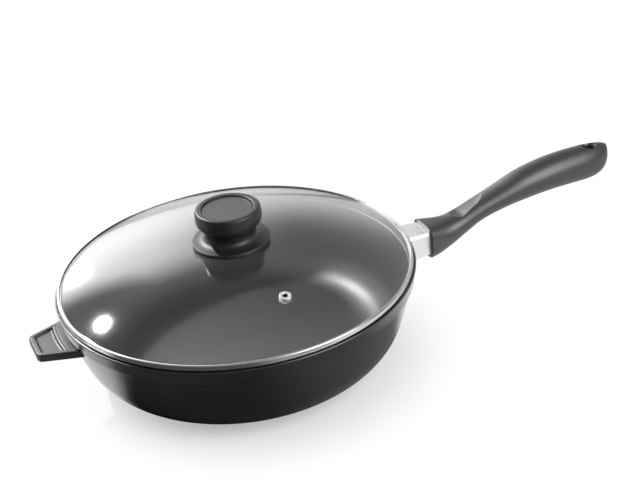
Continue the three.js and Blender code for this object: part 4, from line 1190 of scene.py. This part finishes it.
ROOM = 0.05
CEILING = 0.2
WALL_BEHIND = 0.4
WALL_FOOT_BEHIND = 0.7
PATCH = 2.8
PATCH_RIGHT = (62, 92)
PATCH_LEFT = (112, 135)
PATCH_FOOT = (-14, 22)
PATCH_HEAD = (27, 40)
PATCH_SLANT_FROM = 89
PATCH_SLANT = 0.9
world = bpy.data.worlds.new("studio")
world.use_nodes = True
bpy.context.scene.world = world
wire = Wire(world.node_tree)
direction = wire.add("TexCoord", output="Generated")
east, north, rise = [wire.add("SeparateXYZ", {}, {0: direction}, axis) for axis in "XYZ"]
azimuth = wire.maths("ARCTAN2", north, east) * (180 / math.pi)
elevation = wire.maths("ARCSINE", rise) * (180 / math.pi)
behind = measured_along(wire, direction, towards(75, 0)).step(0, 0.6)
wall = (1 - elevation.step(36, 52)) * WALL_BEHIND + (1 - elevation.step(4, 26)) * WALL_FOOT_BEHIND
ceiling = elevation.step(25, 50) * (1 - 0.75 * behind) * CEILING
slant = elevation + wire.maths("MAXIMUM", azimuth - PATCH_SLANT_FROM, 0) * PATCH_SLANT
patch = azimuth.step(*PATCH_RIGHT) * (1 - azimuth.step(*PATCH_LEFT))
patch = patch * elevation.step(*PATCH_FOOT) * (1 - slant.step(*PATCH_HEAD))
room = ROOM + ceiling + behind * wall + patch * PATCH
seen = wire.maths("MAXIMUM", wire.add("LightPath", output="Is Camera Ray"), first_through_glass(wire))
wire.feed(world.node_tree.nodes["Background"].inputs["Strength"], seen + (1 - seen) * room)
world.node_tree.nodes["Background"].inputs["Color"].default_value = (1, 1, 1, 1)


# Camera: at the photograph's distance and angle, with its slight roll.
# Its focal length is given in pixels of a picture 640 wide.
VIEW_ROLL = math.radians(5.72)
VIEW_DISTANCE = 1053.71 * MM
VIEW_CENTRE = Vector((73.17, -3.2, 80.4)) * MM
FOCAL_PIXELS = 1300
PHOTO_WIDTH = 640
SENSOR = 36

camera_data = bpy.data.cameras.new("camera")
camera_data.sensor_fit = "HORIZONTAL"
camera_data.sensor_width = SENSOR
camera_data.lens = FOCAL_PIXELS / PHOTO_WIDTH * SENSOR
camera_data.clip_end = 50
camera = bpy.data.objects.new("camera", camera_data)
right = Vector((math.cos(VIEW_TURN), math.sin(VIEW_TURN), 0))
up = view_back.cross(right)
rolled_right = math.cos(VIEW_ROLL) * right - math.sin(VIEW_ROLL) * up
rolled_up = math.sin(VIEW_ROLL) * right + math.cos(VIEW_ROLL) * up
turn = Matrix((rolled_right, rolled_up, view_back)).transposed()
camera.matrix_world = Matrix.Translation(VIEW_CENTRE + VIEW_DISTANCE * view_back) @ turn.to_4x4()
bpy.context.scene.collection.objects.link(camera)
bpy.context.scene.camera = camera
bpy.context.scene.view_settings.view_transform = "Standard"
